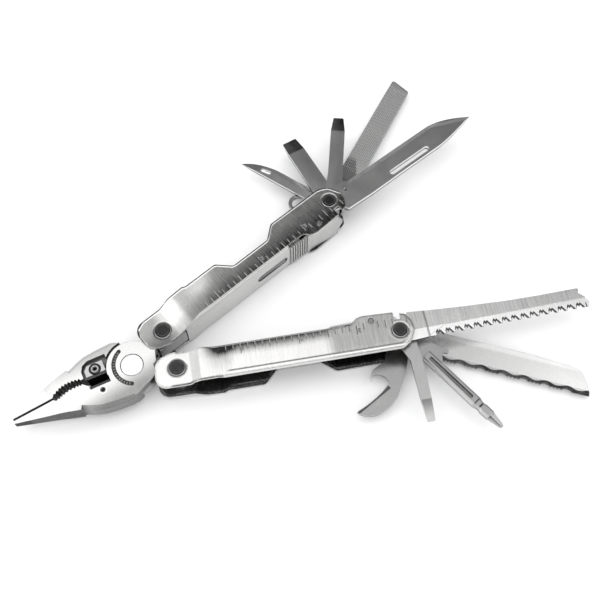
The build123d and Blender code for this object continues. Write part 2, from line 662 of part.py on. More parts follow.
def build_cutter_screw(side, name):
    screw_at = (CUT_SCREW[0], side * CUT_SCREW[1])
    shank_r = 1.2
    with BuildPart() as screw:
        with BuildSketch(JAW_FRAME.offset(layer_start(side, 3.32, 4.75))):
            with Locations(screw_at):
                Circle(2.2)
        extrude(amount=1.43)
        with BuildSketch(JAW_FRAME.offset(-4.0)):
            with Locations(screw_at):
                Circle(shank_r)
        extrude(amount=8.0)
        # end of the shank away from the head
        with BuildSketch(JAW_FRAME.offset(layer_start(-side, 4.0, 4.5))):
            with Locations(screw_at):
                Circle(shank_r)
        extrude(amount=0.5)
        # six-pointed recess in the head
        with BuildSketch(JAW_FRAME.offset(layer_start(side, 3.75, 4.8))):
            with Locations(screw_at):
                for angle in (0, 60, 120):
                    with Locations(Location((0, 0, 0), (0, 0, angle))):
                        SlotOverall(2.2, 0.62)
                Circle(0.75)
        extrude(amount=1.05, mode=Mode.SUBTRACT)
    save(screw, name)


for side, which in ((1, "upper"), (-1, "lower")):
    build_cutter(side, f"cutter_{which}")
    build_cutter_screw(side, f"cutter_screw_{which}")

# ================================================================ folding implements
# implement frame: origin on its pivot, u along the implement, z across the handle from the
# low local side of its layer; each outline is a table of (u, v)
STACKS = {"a": (TOOL_A, 1), "b": (TOOL_B, -1)}   # tool pivot, side


def layer(stack, angle, z0, z1):
    """Frame and thickness of the layer between heights z0 < z1 above the mid plane."""
    pivot, side = STACKS[stack]
    return frame_plane(pivot, angle, side, z0 if side > 0 else z1), z1 - z0


def wedge_cut(plane, thick, a, b, inset, edge, side=1):
    """Grind both faces along a-b, from full thickness inset mm back to edge thickness at a-b.
    side: +1 if the material lies to the left of a->b, -1 if to the right."""
    along = Vector(b[0] - a[0], b[1] - a[1], 0).normalized()
    inward = Vector(0, 0, 1).cross(along) * side
    wedge = Plane(origin=plane.from_local_coords(Vector(a[0], a[1], 0)),
                  x_dir=plane.from_local_coords(inward) - plane.origin,
                  z_dir=plane.from_local_coords(along) - plane.origin)
    length = hypot(b[0] - a[0], b[1] - a[1])
    depth = (thick - edge) / 2
    for face, ground_to, s in ((0, depth, 1), (thick, thick - depth, -1)):
        with BuildSketch(wedge) as ground:
            with BuildLine():
                Polyline((inset, side * face), (0, side * ground_to),
                         (-0.6, side * (ground_to + s * 0.1)),
                         (-3, side * (ground_to + s * 0.1)), (-3, side * (face - s)),
                         (inset, side * (face - s)), close=True)
            make_face()
        extrude(ground.sketch, amount=length, mode=Mode.SUBTRACT)


def bore(plane, thick):
    with BuildSketch(plane.offset(-1)) as hole:
        Circle(TOOL_PIN_R + RUN)
    extrude(hole.sketch, amount=thick + 2, mode=Mode.SUBTRACT)


# ---- clip-point knife
KNIFE_TANG = [(62.0, 3.85), (13.5, 3.85), (12.4, 4.6), (6.0, 4.9), (0, 5.2), (0, -5.2),
              (3.8, -5.7), (5.2, -8.35), (20.0, -8.75), (40.0, -8.5), (61.5, -8.5)]
KNIFE_CLIP = [(61.5, -8.5), (69.0, -7.7), (77.0, -6.3), (84.8, -4.8)]
KNIFE_BELLY = [(84.8, -4.8), (80.0, -1.6), (75.0, 1.0), (70.0, 2.8), (66.0, 3.6), (62.0, 3.85)]
plane, thick = layer("a", 38.6, 5.1, 7.6)
with BuildPart() as knife:
    with BuildSketch(plane):
        with BuildLine():
            Polyline(*KNIFE_TANG)
            Spline(*KNIFE_CLIP)
            Spline(*KNIFE_BELLY)
        make_face()
        Circle(TANG_R)
    extrude(amount=thick)
    wedge_cut(plane, thick, (92.0, 3.95), (13.5, 3.95), inset=2.4, edge=0.35)
    wedge_cut(plane, thick, (88.0, -5.6), (64.5, 4.6), inset=2.6, edge=0.3)
    # long slot and small hole near the tang
    with BuildSketch(plane.offset(-1)):
        with Locations((44.6, -5.9)):
            SlotOverall(24.0, 2.6)
        with Locations((10.3, 0.6)):
            Circle(0.8)
    extrude(amount=5, mode=Mode.SUBTRACT)
    bore(plane, thick)
save(knife, "knife")

# ---- file
FILE_OUTLINE = [(0, -5.2), (9.0, -4.65), (83.8, -4.65), (86.9, 4.8), (86.0, 5.6),
                (28.0, 5.95), (15.0, 5.0), (0, 5.2)]
plane, thick = layer("a", 63.29, -6.95, -5.1)
with BuildPart() as file_tool:
    with BuildSketch(plane):
        with BuildLine():
            Polyline(*FILE_OUTLINE, close=True)
        make_face()
        fillet([v for v in vertices() if v.X > 80], radius=0.7)
        Circle(TANG_R)
    extrude(amount=thick)
    # shallow oblique band across both faces in front of the tang
    for start in (-0.5, thick - 0.15):
        with BuildSketch(plane.offset(start)):
            with BuildLine():
                Polyline((26.0, -6.0), (30.0, 7.0), (24.5, 7.0), (20.5, -6.0), close=True)
            make_face()
        extrude(amount=0.65, mode=Mode.SUBTRACT)
    # row of slanted grooves on the upper face
    with BuildSketch(plane.offset(thick - 0.12)):
        for k in range(34):
            with Locations(Location((31.0 + 1.6 * k, 0.6, 0), (0, 0, 62))):
                Rectangle(12.6, 0.36)
    extrude(amount=0.3, mode=Mode.SUBTRACT)
    bore(plane, thick)
save(file_tool, "file")


# ---- flat drivers
def build_driver(name, placement, outline, tip_u, corner_r, inset, edge):
    plane, thick = layer(*placement)
    with BuildPart() as driver:
        with BuildSketch(plane):
            with BuildLine():
                Polyline(*outline, close=True)
            make_face()
            fillet([v for v in vertices() if v.X > tip_u - 1], radius=corner_r)
            Circle(TANG_R)
        extrude(amount=thick)
        wedge_cut(plane, thick, (tip_u + 0.05, -9.0), (tip_u + 0.05, 4.0), inset, edge)
        bore(plane, thick)
    save(driver, name)


build_driver(
    "driver_large", placement=("a", 86.44, 2.5, 4.7),
    outline=[(0, -5.2), (6.0, -5.6), (18.0, -5.65), (42.0, -5.6), (50.0, -4.65), (50.0, 0.3),
             (42.0, 1.2), (18.0, 1.3), (7.0, 2.2), (0, 5.2)],
    tip_u=50.0, corner_r=0.6, inset=7.6, edge=0.9)
build_driver(
    "driver_medium", placement=("a", 120.4, 0.05, 2.25),
    outline=[(0, -5.2), (5.0, -6.4), (9.0, -6.85), (34.8, -6.8), (42.0, -6.2), (42.0, 0.95),
             (34.8, 1.5), (8.0, 1.7), (4.0, 3.4), (0, 5.2)],
    tip_u=42.0, corner_r=0.5, inset=6.8, edge=0.8)
build_driver(
    "driver_small", placement=("b", -79.6, 2.9, 4.7),
    outline=[(0, -5.2), (6.0, -6.6), (13.0, -7.35), (31.0, -7.0), (41.0, -6.4), (41.0, -3.1),
             (31.0, -2.45), (13.0, -2.1), (7.0, 0.6), (0, 5.2)],
    tip_u=41.0, corner_r=0.5, inset=9.0, edge=0.7)

# ---- awl with thread eye
plane, thick = layer("a", 147.9, -2.0, -0.2)
with BuildPart() as awl:
    with BuildSketch(plane):
        with BuildLine():
            Polyline((49.6, 0.3), (4.0, 0.3), (0, 3.0), (0, -5.2), (10.0, -6.0), (26.0, -5.95))
            Spline((26.0, -5.95), (36.0, -5.5), (41.0, -4.4), (45.5, -2.6), (49.6, 0.3))
        make_face()
        Circle(TANG_R)
    extrude(amount=thick)
    wedge_cut(plane, thick, (10.0, -6.05), (37.5, -6.05), inset=2.4, edge=0.3)
    wedge_cut(plane, thick, (32.0, -7.1), (51.5, 1.0), inset=2.6, edge=0.25)
    with BuildSketch(plane.offset(-1)):
        with Locations(Location((36.9, -2.3, 0), (0, 0, 6))):
            SlotOverall(5.4, 2.0)
    extrude(amount=4, mode=Mode.SUBTRACT)
    bore(plane, thick)
save(awl, "awl")

# ---- lanyard ring
RING_U, RING_OUTER_R, RING_INNER_R = 15.26, 4.75, 3.0
plane, thick = layer("a", 160.0, -3.9, -2.4)
with BuildPart() as lanyard_ring:
    with BuildSketch(plane):
        Circle(4.6)
        with Locations((7.0, 0)):
            Rectangle(9.4, 3.4)
        with Locations((RING_U, 0)):
            Circle(RING_OUTER_R)
        with Locations((RING_U, 0)):
            Circle(RING_INNER_R, mode=Mode.SUBTRACT)
    extrude(amount=thick)
    loop = [e for e in lanyard_ring.edges().filter_by(GeomType.CIRCLE)
            if plane.to_local_coords(e.center()).X > 9]
    fillet(loop, radius=0.45)
    bore(plane, thick)
save(lanyard_ring, "lanyard_ring")

# ---- saw
SAW_PITCH, SAW_TEETH = 4.27, 16
SAW_TOOTH = [(0, 4.7), (0.75, 2.75), (1.4, 4.0), (1.95, 2.9), (2.9, 4.7)]   # u step, v
SAW_OUTLINE = [(85.3, 4.7), (85.9, 2.6), (84.4, -0.2), (82.2, -2.2), (82.9, -3.9),
               (82.5, -4.55), (65.0, -4.55), (50.0, -4.9), (30.0, -6.1), (13.0, -7.45),
               (5.0, -8.1), (3.6, -5.6), (0, -5.2), (0, 5.2), (6.0, 5.1), (11.0, 4.9),
               (12.6, 4.7)]
# cuts on both faces: depth, outline; first the whole blade, then the band beside the teeth
SAW_GROUND = [
    (0.25, [(12.9, -9), (11.6, 6), (90, 6), (90, -9)]),
    (0.55, [(20.5, 0.4), (90, 0.4), (90, 6), (12.0, 6), (12.3, 4.2)]),
]
plane, thick = layer("b", 11.79, 5.1, 6.9)
saw_teeth = [(15.5 + SAW_PITCH * k + step, v) for k in range(SAW_TEETH) for step, v in SAW_TOOTH]
with BuildPart() as saw:
    with BuildSketch(plane):
        with BuildLine():
            Polyline(*saw_teeth, *SAW_OUTLINE, close=True)
        make_face()
        Circle(TANG_R)
    extrude(amount=thick)
    for depth, ground in SAW_GROUND:
        for start in (-1.0, thick - depth):
            with BuildSketch(plane.offset(start)):
                with BuildLine():
                    Polyline(*ground, close=True)
                make_face()
            extrude(amount=1.0 + depth, mode=Mode.SUBTRACT)
    bore(plane, thick)
save(saw, "saw")

# ---- serrated sheepsfoot knife
SERRATION_START, SERRATION_GROUPS = 22.2, 6
SMALL_PITCH, LARGE_PITCH = 1.65, 4.55  # three small scallops and a large one per group
SMALL_SCALLOP = [(0, 0), (0.5, -0.55), (1.15, -0.55)]            # u step, v step
LARGE_SCALLOP = [(0, 0), (0.8, -1.0), (2.25, -1.45), (3.7, -1.0)]
SERRATED_BACK = [(78.0, -10.7), (55.0, -11.2), (20.0, -9.9), (5.2, -8.5), (3.8, -5.7),
                 (0, -5.2), (0, 5.2), (6.0, 4.6), (13.5, 3.2), (20.6, 2.7), (21.2, 1.9)]
SERRATED_TIP = [(86.7, 0.3), (86.5, -1.0), (82.2, -9.0), (81.0, -10.15)]


def edge_v(u):
    """v of the straight line through the serration points."""
    return 2.7 - (u - 21.0) * 2.3 / 65.6


scallops = []
u = SERRATION_START
for _ in range(SERRATION_GROUPS):
    for scallop, pitch in [(SMALL_SCALLOP, SMALL_PITCH)] * 3 + [(LARGE_SCALLOP, LARGE_PITCH)]:
        scallops += [(u + du, edge_v(u) + dv) for du, dv in scallop]
        u += pitch
scallops.append((u, edge_v(u)))

plane, thick = layer("b", -16.52, -7.6, -5.1)
with BuildPart() as serrated_knife:
    with BuildSketch(plane):
        with BuildLine():
            Polyline(*SERRATED_BACK, *scallops, *SERRATED_TIP, close=True)
        make_face()
        Circle(TANG_R)
    extrude(amount=thick)
    wedge_cut(plane, thick, (90.0, edge_v(90.0) + 0.15), (20.0, edge_v(20.0) + 0.15),
              inset=2.5, edge=0.35)
    bore(plane, thick)
save(serrated_knife, "serrated_knife")

# ---- Phillips driver with a spur on its tang
PHILLIPS_TANG = [(0, -5.2), (6.0, -5.6), (11.4, -8.2), (14.0, -8.9), (19.2, -11.0),
                 (20.1, -10.8), (20.4, -10.1), (19.2, -9.35), (18.7, -8.45), (19.2, -7.3),
                 (20.7, -6.3), (22.0, -5.0), (22.0, 0.04), (13.0, 0.1), (6.0, 2.0), (0, 5.2)]
SHAFT_U, SHAFT_V = 14.5, -2.5          # start and centre line of the shaft
# distance along the shaft, half width
SHAFT_STATIONS = [(0, 2.55), (29.5, 2.55), (31.2, 1.85), (32.4, 1.85), (33.6, 2.3),
                  (37.2, 2.2), (43.3, 1.05), (44.3, 0.6)]
plane, thick = layer("b", -46.5, -1.2, 2.5)
with BuildPart() as phillips_driver:
    # the tang is thinner than the shaft
    with BuildSketch(plane.offset(0.72)):
        with BuildLine():
            Polyline(*PHILLIPS_TANG, close=True)
        make_face()
        Circle(TANG_R)
    extrude(amount=2.2)
    section = Plane(origin=plane.from_local_coords(Vector(SHAFT_U, SHAFT_V, thick / 2)),
                    x_dir=plane.y_dir, z_dir=plane.x_dir)
    for stretch in zip(SHAFT_STATIONS, SHAFT_STATIONS[1:]):
        for along, w in stretch:
            h = min(1.84, w)
            c = 0.4 * w
            with BuildSketch(section.offset(along)):
                with BuildLine():
                    Polyline((-w, -h + c), (-w, h - c), (-w + c, h), (w - c, h), (w, h - c),
                             (w, -h + c), (w - c, -h), (-w + c, -h), close=True)
                make_face()
        loft()
    # long recess down both broad faces
    for start in (-1.0, 3.0):
        with BuildSketch(plane.offset(start)):
            with Locations((29.0, SHAFT_V)):
                SlotOverall(25.0, 1.7)
        extrude(amount=1.7, mode=Mode.SUBTRACT)
    # four corner flutes of the cross point
    for sv in (1, -1):
        for sz in (1, -1):
            with BuildSketch(section.offset(37.6)):
                with BuildLine():
                    Polyline((sv * 0.42, sz * 0.42), (sv * 4, sz * 0.6), (sv * 4, sz * 4),
                             (sv * 0.6, sz * 4), close=True)
                make_face()
            extrude(amount=8, mode=Mode.SUBTRACT)
    bore(plane, thick)
save(phillips_driver, "phillips_driver")

# ---- can and bottle opener
OPENER_BACK = [(8.3, -8.7), (16.1, -10.1), (23.5, -11.0), (28.3, -10.4), (32.5, -8.6),
               (36.4, -5.5), (38.2, -1.9), (38.5, 1.3)]
OPENER_CLAW = [(37.5, 1.2), (32.9, -1.3), (27.2, -3.6), (22.1, -4.9), (19.4, -4.7),
               (18.0, -3.1), (18.0, -0.7), (18.7, 1.3), (20.5, 2.3), (22.6, 1.8)]
OPENER_HOOK = [(22.6, 1.8), (20.9, 3.2), (18.8, 3.65), (16.1, 2.9), (13.6, 1.7), (11.1, 1.0)]
plane, thick = layer("b", -116.99, -4.9, -3.3)
with BuildPart() as can_opener:
    with BuildSketch(plane):
        with BuildLine():
            Polyline((0, 5.2), (0, -5.2), (4.5, -7.2), (8.3, -8.7))
            Spline(*OPENER_BACK)
            Line((38.5, 1.3), (37.5, 1.2))
            Spline(*OPENER_CLAW)
            Spline(*OPENER_HOOK)
            Polyline((11.1, 1.0), (6.0, 2.2), (0, 5.2))
        make_face()
        Circle(TANG_R)
    extrude(amount=thick)
    # cutting edge inside the claw
    wedge_cut(plane, thick, (21.0, -5.5), (38.6, 1.9), inset=1.6, edge=0.5, side=-1)
    bore(plane, thick)
save(can_opener, "can_opener")
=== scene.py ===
# A folding plier tool opened out flat above the floor: jaws pointing towards -X, two channel
# handles, and implements fanned out from the pivots at the handle ends. Pivot axes run along Z.
# The scene is in metres. Materials work in millimetres of the row frame, and most use a local
# frame: x along the piece, y across it (the sign is set by FLIP), z above mid thickness.
import json
from functools import reduce
from math import atan2, cos, degrees, radians, sin

import bpy
from mathutils import Matrix, Vector


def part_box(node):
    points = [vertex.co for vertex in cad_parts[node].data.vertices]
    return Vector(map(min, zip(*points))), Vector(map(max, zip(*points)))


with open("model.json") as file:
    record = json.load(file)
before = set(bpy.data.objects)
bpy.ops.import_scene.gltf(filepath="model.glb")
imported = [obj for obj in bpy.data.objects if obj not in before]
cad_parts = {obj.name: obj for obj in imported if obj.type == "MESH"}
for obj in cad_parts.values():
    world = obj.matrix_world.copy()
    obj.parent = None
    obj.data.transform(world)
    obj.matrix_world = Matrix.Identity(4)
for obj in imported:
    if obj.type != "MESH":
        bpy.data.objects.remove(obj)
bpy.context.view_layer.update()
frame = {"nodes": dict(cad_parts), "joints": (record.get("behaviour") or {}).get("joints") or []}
pieces = frame["nodes"]
joints = {joint["name"]: joint for joint in frame["joints"]}

MM = 1000.0      # millimetres in a metre
PI = 3.14159     # precision the saved values were set with


def joint_mm(name):
    return Vector(joints[name]["pos_m"]) * MM


# ---------------------------------------------------------------- reference points and angles
HINGE = joint_mm("jaw_hinge")
FOLD = {side: joint_mm(f"handle_{side}_fold") for side in "ab"}
TOOL_PIVOT = {"a": joint_mm("knife_fold"), "b": joint_mm("saw_fold")}
HANDLE_ANGLE = {side: degrees(atan2(TOOL_PIVOT[side].y - FOLD[side].y,
                                    TOOL_PIVOT[side].x - FOLD[side].x)) for side in "ab"}
FLIP = {"a": 1, "b": -1}         # local y: 1 to the left of local x, -1 to its right
JAW_ANGLE = 205.7                # degrees from +X
SCREW_X, SCREW_Y = 15.1, 5.2     # cutter screws in the jaw frame, at +y and -y
SHEET_TINT = (1.0, 0.995, 0.985)


def left_of(angle, flip=1):
    """Unit vector to the left of a direction, or to its right for flip -1."""
    return (-sin(radians(angle)) * flip, cos(radians(angle)) * flip, 0.0)


# ---------------------------------------------------------------- shader graphs
class Graph:
    """Builds one node tree. Arguments are plain values or output sockets."""

    def __init__(self, tree):
        tree.nodes.clear()
        self.tree = tree

    def put(self, socket, value):
        if isinstance(value, bpy.types.NodeSocket):
            self.tree.links.new(value, socket)
        else:
            socket.default_value = value

    def node(self, kind, inputs=None, **settings):
        node = self.tree.nodes.new("ShaderNode" + kind)
        for key, value in settings.items():
            setattr(node, key, value)
        for key, value in (inputs or {}).items():
            self.put(node.inputs[key], value)
        return node

    def math(self, operation, *values):
        return self.node("Math", dict(enumerate(values)), operation=operation).outputs[0]

    def add(self, *values):
        return reduce(lambda total, value: self.math("ADD", total, value), values)

    def mul(self, *values):
        return reduce(lambda total, value: self.math("MULTIPLY", total, value), values)

    def split(self, vector):
        return tuple(self.node("SeparateXYZ", {0: vector}).outputs)

    def join(self, x, y, z):
        return self.node("CombineXYZ", {0: x, 1: y, 2: z}).outputs[0]

    def ramp(self, value, start, end, low=0.0, high=1.0, smooth=True):
        """Clamped change from low at start to high at end."""
        inputs = {"Value": value, "From Min": start, "From Max": end, "To Min": low, "To Max": high}
        interpolation = "SMOOTHSTEP" if smooth else "LINEAR"
        return self.node("MapRange", inputs, interpolation_type=interpolation).outputs["Result"]

    def lerp(self, factor, first, second):
        return self.node("Mix", {0: factor, 2: first, 3: second}, data_type="FLOAT").outputs[0]


class Metal(Graph):
    def __init__(self, name):
        self.material = bpy.data.materials.new(name)
        self.material.use_nodes = True
        super().__init__(self.material.node_tree)
        self.bsdf = self.node("BsdfPrincipled")
        self.node("OutputMaterial", {0: self.bsdf.outputs[0]})
        coords = self.node("TexCoord").outputs["Object"]     # these stay with a moving piece
        scaled = self.node("VectorMath", {0: coords, "Scale": MM}, operation="SCALE")
        self.point = scaled.outputs["Vector"]
        self.true_normal = self.node("NewGeometry").outputs["True Normal"]

    # ---- arithmetic
    def math(self, operation, first, second=0.0, third=0.0):
        return super().math(operation, first, second, third)

    def sub(self, first, second):
        return self.math("SUBTRACT", first, second)

    def abs(self, value):
        return self.math("ABSOLUTE", value)

    def fract(self, value):
        return self.math("FRACT", value)

    def max(self, first, second):
        return self.math("MAXIMUM", first, second)

    def limit(self, value, low, high):
        return self.math("MINIMUM", self.max(value, low), high)

    def vary(self, texture, *factors):
        """A 0-1 texture centred on zero, times the factors."""
        return self.mul(self.sub(texture, 0.5), *factors)

    def vector(self, operation, first, second=(0, 0, 0)):
        node = self.node("VectorMath", {0: first, 1: second}, operation=operation)
        return node.outputs["Value" if operation in ("DOT_PRODUCT", "LENGTH") else "Vector"]

    def dot(self, first, second):
        return self.vector("DOT_PRODUCT", first, second)

    # ---- places
    def from_point(self, origin):
        """Offset from a point, along the axes of the row frame."""
        return self.split(self.vector("SUBTRACT", self.point, tuple(origin)))

    def frame(self, origin, angle, flip):
        """Local x, y, z with x at the angle."""
        offset = self.vector("SUBTRACT", self.point, tuple(origin))
        x = self.dot(offset, (cos(radians(angle)), sin(radians(angle)), 0))
        return x, self.dot(offset, left_of(angle, flip)), self.dot(offset, (0, 0, 1))

    def radius(self, x, y):
        return self.vector("LENGTH", self.join(x, y, 0.0))

    def band(self, value, start, end, soft=0.1):
        """1 between start and end, 0 outside."""
        return self.mul(self.ramp(value, start - soft, start + soft),
                        self.ramp(value, end - soft, end + soft, 1.0, 0.0))

    def stripes(self, value, pitch, soft):
        """Soft 0-1 stripes, as wide as their gaps."""
        phase = self.fract(self.math("DIVIDE", value, pitch))
        duty = 0.5
        return self.ramp(self.abs(self.sub(phase, 0.5)), duty / 2 - soft, duty / 2 + soft, 1.0, 0.0)

    def curve(self, value, points, start, end, top):
        """Piecewise linear height, 0 to top, over start to end."""
        node = self.node("FloatCurve")
        knots = node.mapping.curves[0].points
        while len(knots) > 2:
            knots.remove(knots[1])
        scaled = [((x - start) / (end - start), y / top) for x, y in points]
        knots[0].location, knots[1].location = scaled[0], scaled[-1]
        for place in scaled[1:-1]:
            knots.new(*place)
        for knot in knots:
            knot.handle_type = "VECTOR"
        node.mapping.update()
        self.put(node.inputs["Value"], self.ramp(value, start, end, smooth=False))
        return self.math("MULTIPLY_ADD", node.outputs[0], top, 0.0)

    def edge_distance(self, x, y, profile):
        """Distance inward from an edge that follows the profile y(x)."""
        start, end = profile[0][0], profile[-1][0]
        slopes = []              # cosine of each segment's tilt, at both of its ends
        for (ax, ay), (bx, by) in zip(profile, profile[1:]):
            cosine = (bx - ax) / ((bx - ax) ** 2 + (by - ay) ** 2) ** 0.5
            slopes += [(ax + 0.01, cosine), (bx - 0.01, cosine)]
        gap = self.sub(self.curve(x, profile, start, end, top=10.0), y)
        return self.mul(gap, self.curve(x, slopes, start, end, top=1.0))

    def face_z(self, low=0.75, high=0.95):
        """1 on faces square to the pivot axes."""
        return self.ramp(self.abs(self.split(self.true_normal)[2]), low, high)

    # ---- surface layers
    def noise(self, vector, scale=1.0, detail=3.0, rough=0.55, warp=0.0):
        inputs = {"Vector": vector, "Scale": scale, "Detail": detail, "Roughness": rough,
                  "Distortion": warp}
        return self.node("TexNoise", inputs).outputs[0]

    def brushed(self, along, across, depth, fine, stretch=0.05):
        """Long brushing lines running along `along`."""
        broad = self.noise(self.join(self.mul(along, stretch), across, depth), fine, 4.0, 0.62)
        thin = self.noise(self.join(self.mul(along, stretch * 3.0), across, depth),
                          fine * 2.7, 2.0, 0.5)
        return self.add(self.mul(broad, 0.65), self.mul(thin, 0.35))

    def scratches(self, x, y, z, seed):
        """A few thin handling scratches in three directions."""
        total = None
        strength = 1.0
        for i, angle in enumerate((17.0, 71.0, 128.0)):
            cosine, sine = cos(radians(angle)), sin(radians(angle))
            along = self.add(self.mul(x, cosine), self.mul(y, sine), seed + 13.0 * i)
            across = self.add(self.mul(x, -sine), self.mul(y, cosine))
            stretched = self.join(self.mul(along, 0.045), self.mul(across, 2.6),
                                  self.add(z, 5.0 * i))
            grain = self.noise(stretched, 1.6, 2.0, 0.4, 0.25)
            line = self.ramp(self.abs(self.sub(grain, 0.5)), 0.0, 0.006, 1.0, 0.0)
            patches = self.noise(self.join(self.mul(along, 0.06), self.mul(across, 0.3), z),
                                 scale=1.0, detail=1.0)
            line = self.mul(line, self.ramp(patches, 0.52, 0.62), strength)
            total = line if total is None else self.max(total, line)
        return total

    def smudge(self, scale):
        return self.noise(self.point, scale, 4.0, 0.6, 0.6)

    def pits(self, scale, size):
        """Small isolated dents."""
        cells = self.node("TexVoronoi", {"Vector": self.point, "Scale": scale})
        return self.ramp(cells.outputs["Distance"], size * 0.4, size, 1.0, 0.0)

    # ---- assembly
    def turn(self, radius_mm, samples):
        """A rounded normal, and how far it turns from the true one."""
        node = self.node("Bevel", {"Radius": radius_mm / MM}, samples=samples)
        normal = node.outputs[0]
        return normal, self.sub(1.0, self.dot(normal, self.true_normal))

    def finish(self, tone, rough, height, bump, bump_mm, edge, edge_mm,
               tint=(1.0, 1.0, 1.0), painted_rim_mask=None, anisotropy=0.0, grain_angle=0.0):
        """Add edge wear, corner soiling with painted shade, wire the shader and return the
        material.

        tone is the grey value, rough the roughness and height the bump pattern, with
        strength bump and depth bump_mm. edge is the wear on edges rounded by edge_mm.
        Anisotropy follows the direction left of grain_angle.
        """
        normal, turn = self.turn(edge_mm, samples=4)
        patches = self.ramp(self.noise(self.point, 0.9, 3.0, 0.6), 0.32, 0.7, 0.45, 1.0)
        wear = self.mul(self.ramp(turn, 0.015, 0.16), patches)
        tone = self.lerp(self.mul(wear, edge), tone, 0.86)
        rough = self.lerp(self.mul(wear, edge), rough, 0.22)
        if painted_rim_mask is not None:
            # rolled edge: a painted highlight line inside a painted dark outline
            _, turn = self.turn(2.6, samples=8)
            bright = self.band(turn, 0.008, 0.075, 0.006)
            tone = self.lerp(self.mul(bright, painted_rim_mask), tone, 0.93)
            tone = self.lerp(self.mul(self.ramp(turn, 0.075, 0.11), painted_rim_mask), tone, 0.04)
        # painted shade with soiling in corners and between parts: occlusion darkens and roughens
        # them
        soil_and_shade, reach_mm = 0.75, 1.2
        occlusion = self.node("AmbientOcclusion", {"Distance": reach_mm / MM}, samples=6)
        soil_and_shade_mask = self.ramp(occlusion.outputs["AO"], 0.25, 0.8, 1.0, 0.0)
        tone = self.lerp(self.mul(soil_and_shade_mask, soil_and_shade), tone, self.mul(tone, 0.22))
        rough = self.lerp(self.mul(soil_and_shade_mask, soil_and_shade), rough, 0.6)
        shader = self.bsdf.inputs
        self.put(shader["Base Color"], self.join(*[self.mul(tone, part) for part in tint]))
        self.put(shader["Roughness"], self.max(rough, 0.08))
        self.put(shader["Metallic"], 1.0)
        if anisotropy:
            self.put(shader["Anisotropic"], anisotropy)
            self.put(shader["Tangent"], self.join(*left_of(grain_angle)))
        relief = self.node("Bump", {"Strength": bump, "Distance": bump_mm / MM,
                                    "Height": height, "Normal": normal})
        self.put(shader["Normal"], relief.outputs[0])
        return self.material


def give(name, material):
    """Put the material in every slot, whether it belongs to the mesh or to the object."""
    piece = pieces[name]
    materials = piece.data.materials
    if not materials:
        materials.append(material)
    for i in range(len(materials)):
        materials[i] = material
    for slot in piece.material_slots:
        slot.material = material


# ---------------------------------------------------------------- handles: brushed folded sheet
# Open edge of a handle wall, (x, y) in the handle's frame.
OPEN_EDGE = [
    (-9.7, 3.75), (-8.18, 7.43), (-4.5, 8.95), (4.5, 8.95), (11.0, 9.6), (18.2, 9.85),
    (20.2, 9.05), (35.7, 9.05), (37.24, 8.4), (41.96, 3.64), (43.5, 3.0), (61.5, 3.0),
    (62.9, 3.49), (68.2, 7.76), (69.6, 8.24), (96.2, 7.92), (98.6, 7.26), (101.4, 5.7),
    (102.1, 4.67), (104.2, 0.6),
]


def handle_a_painted_light(mat, x, y, top):
    """Painted reflections: darker towards the back, with two painted highlights near the head."""
    cloud = mat.noise(mat.join(mat.mul(x, 0.09), mat.mul(y, 0.14), mat.z), 1.0, 2.0, 0.5, 0.4)
    across = mat.ramp(mat.add(y, mat.mul(cloud, 3.0)), -4.5, 7.5, 0.07, 0.4)
    across = mat.add(across, mat.ramp(x, 7.0, -2.0, 0.0, -0.2))
    head = mat.ramp(mat.add(x, mat.mul(y, -0.6)), 36.0, 10.0)
    near_highlight = mat.mul(mat.band(mat.add(x, mat.mul(cloud, 6.0)), 5.0, 14.0, 3.0),
                         mat.ramp(y, -5.0, 2.0, 0.25, 1.0))
    slanted = mat.add(x, mat.mul(y, -0.5), mat.mul(cloud, 3.0))
    far_highlight = mat.mul(mat.band(slanted, 19.0, 29.0, 5.0), mat.ramp(y, -1.0, 6.5), 0.85)
    wall = mat.add(across, mat.mul(head, 0.3), mat.mul(near_highlight, 0.44),
                   mat.mul(far_highlight, 0.5))
    return mat.lerp(top, 0.42, wall)


def handle_b_painted_light(mat, x, y, top):
    """Painted reflections: bright, with painted shade at the back, the far end, the open edge and
    one patch.
    """
    cloud = mat.noise(mat.join(mat.mul(x, 0.08), mat.mul(y, 0.2), mat.z), 1.0, 2.0, 0.5, 0.4)
    across = mat.ramp(mat.add(y, mat.mul(cloud, 1.2)), -5.0, 1.6, 0.05, 0.9)
    across = mat.lerp(mat.ramp(x, 8.0, 20.0), 0.9, across)
    shade_patch = mat.mul(mat.band(mat.add(x, mat.mul(cloud, 5.0)), 17.0, 26.0, 3.0),
                    mat.ramp(y, 6.0, -3.0, 0.15, 0.8))
    far_end_shade = mat.ramp(x, 63.0, 70.0)
    across = mat.lerp(far_end_shade, across, 0.86)
    open_side_shade = mat.mul(mat.ramp(y, 5.4, 7.4), mat.ramp(x, 18.0, 26.0))
    wall = mat.add(across, mat.mul(shade_patch, -0.45), mat.mul(far_end_shade, -0.4),
                   mat.mul(open_side_shade, -0.25))
    return mat.lerp(top, 0.66, wall)


def painted_lip_lines(mat, x, y, z, top, tone, height):
    """Handle A's open edge: a painted highlight line inside a painted dark outline, with a bump for
    the roll.
    """
    inset = mat.math("MINIMUM", mat.edge_distance(x, y, OPEN_EDGE), mat.add(x, 9.7))
    painted_lip = mat.mul(top, mat.ramp(z, 0.0, 1.0), mat.ramp(y, -1.5, 0.0))
    tone = mat.lerp(mat.mul(mat.band(inset, 0.52, 1.0, 0.07), painted_lip), tone, 0.93)
    tone = mat.lerp(mat.mul(mat.ramp(inset, 0.52, 0.42), painted_lip), tone, 0.035)
    rise = mat.mul(mat.ramp(inset, 1.12, 0.45, smooth=False), painted_lip, 13.0)
    return tone, mat.add(height, rise)


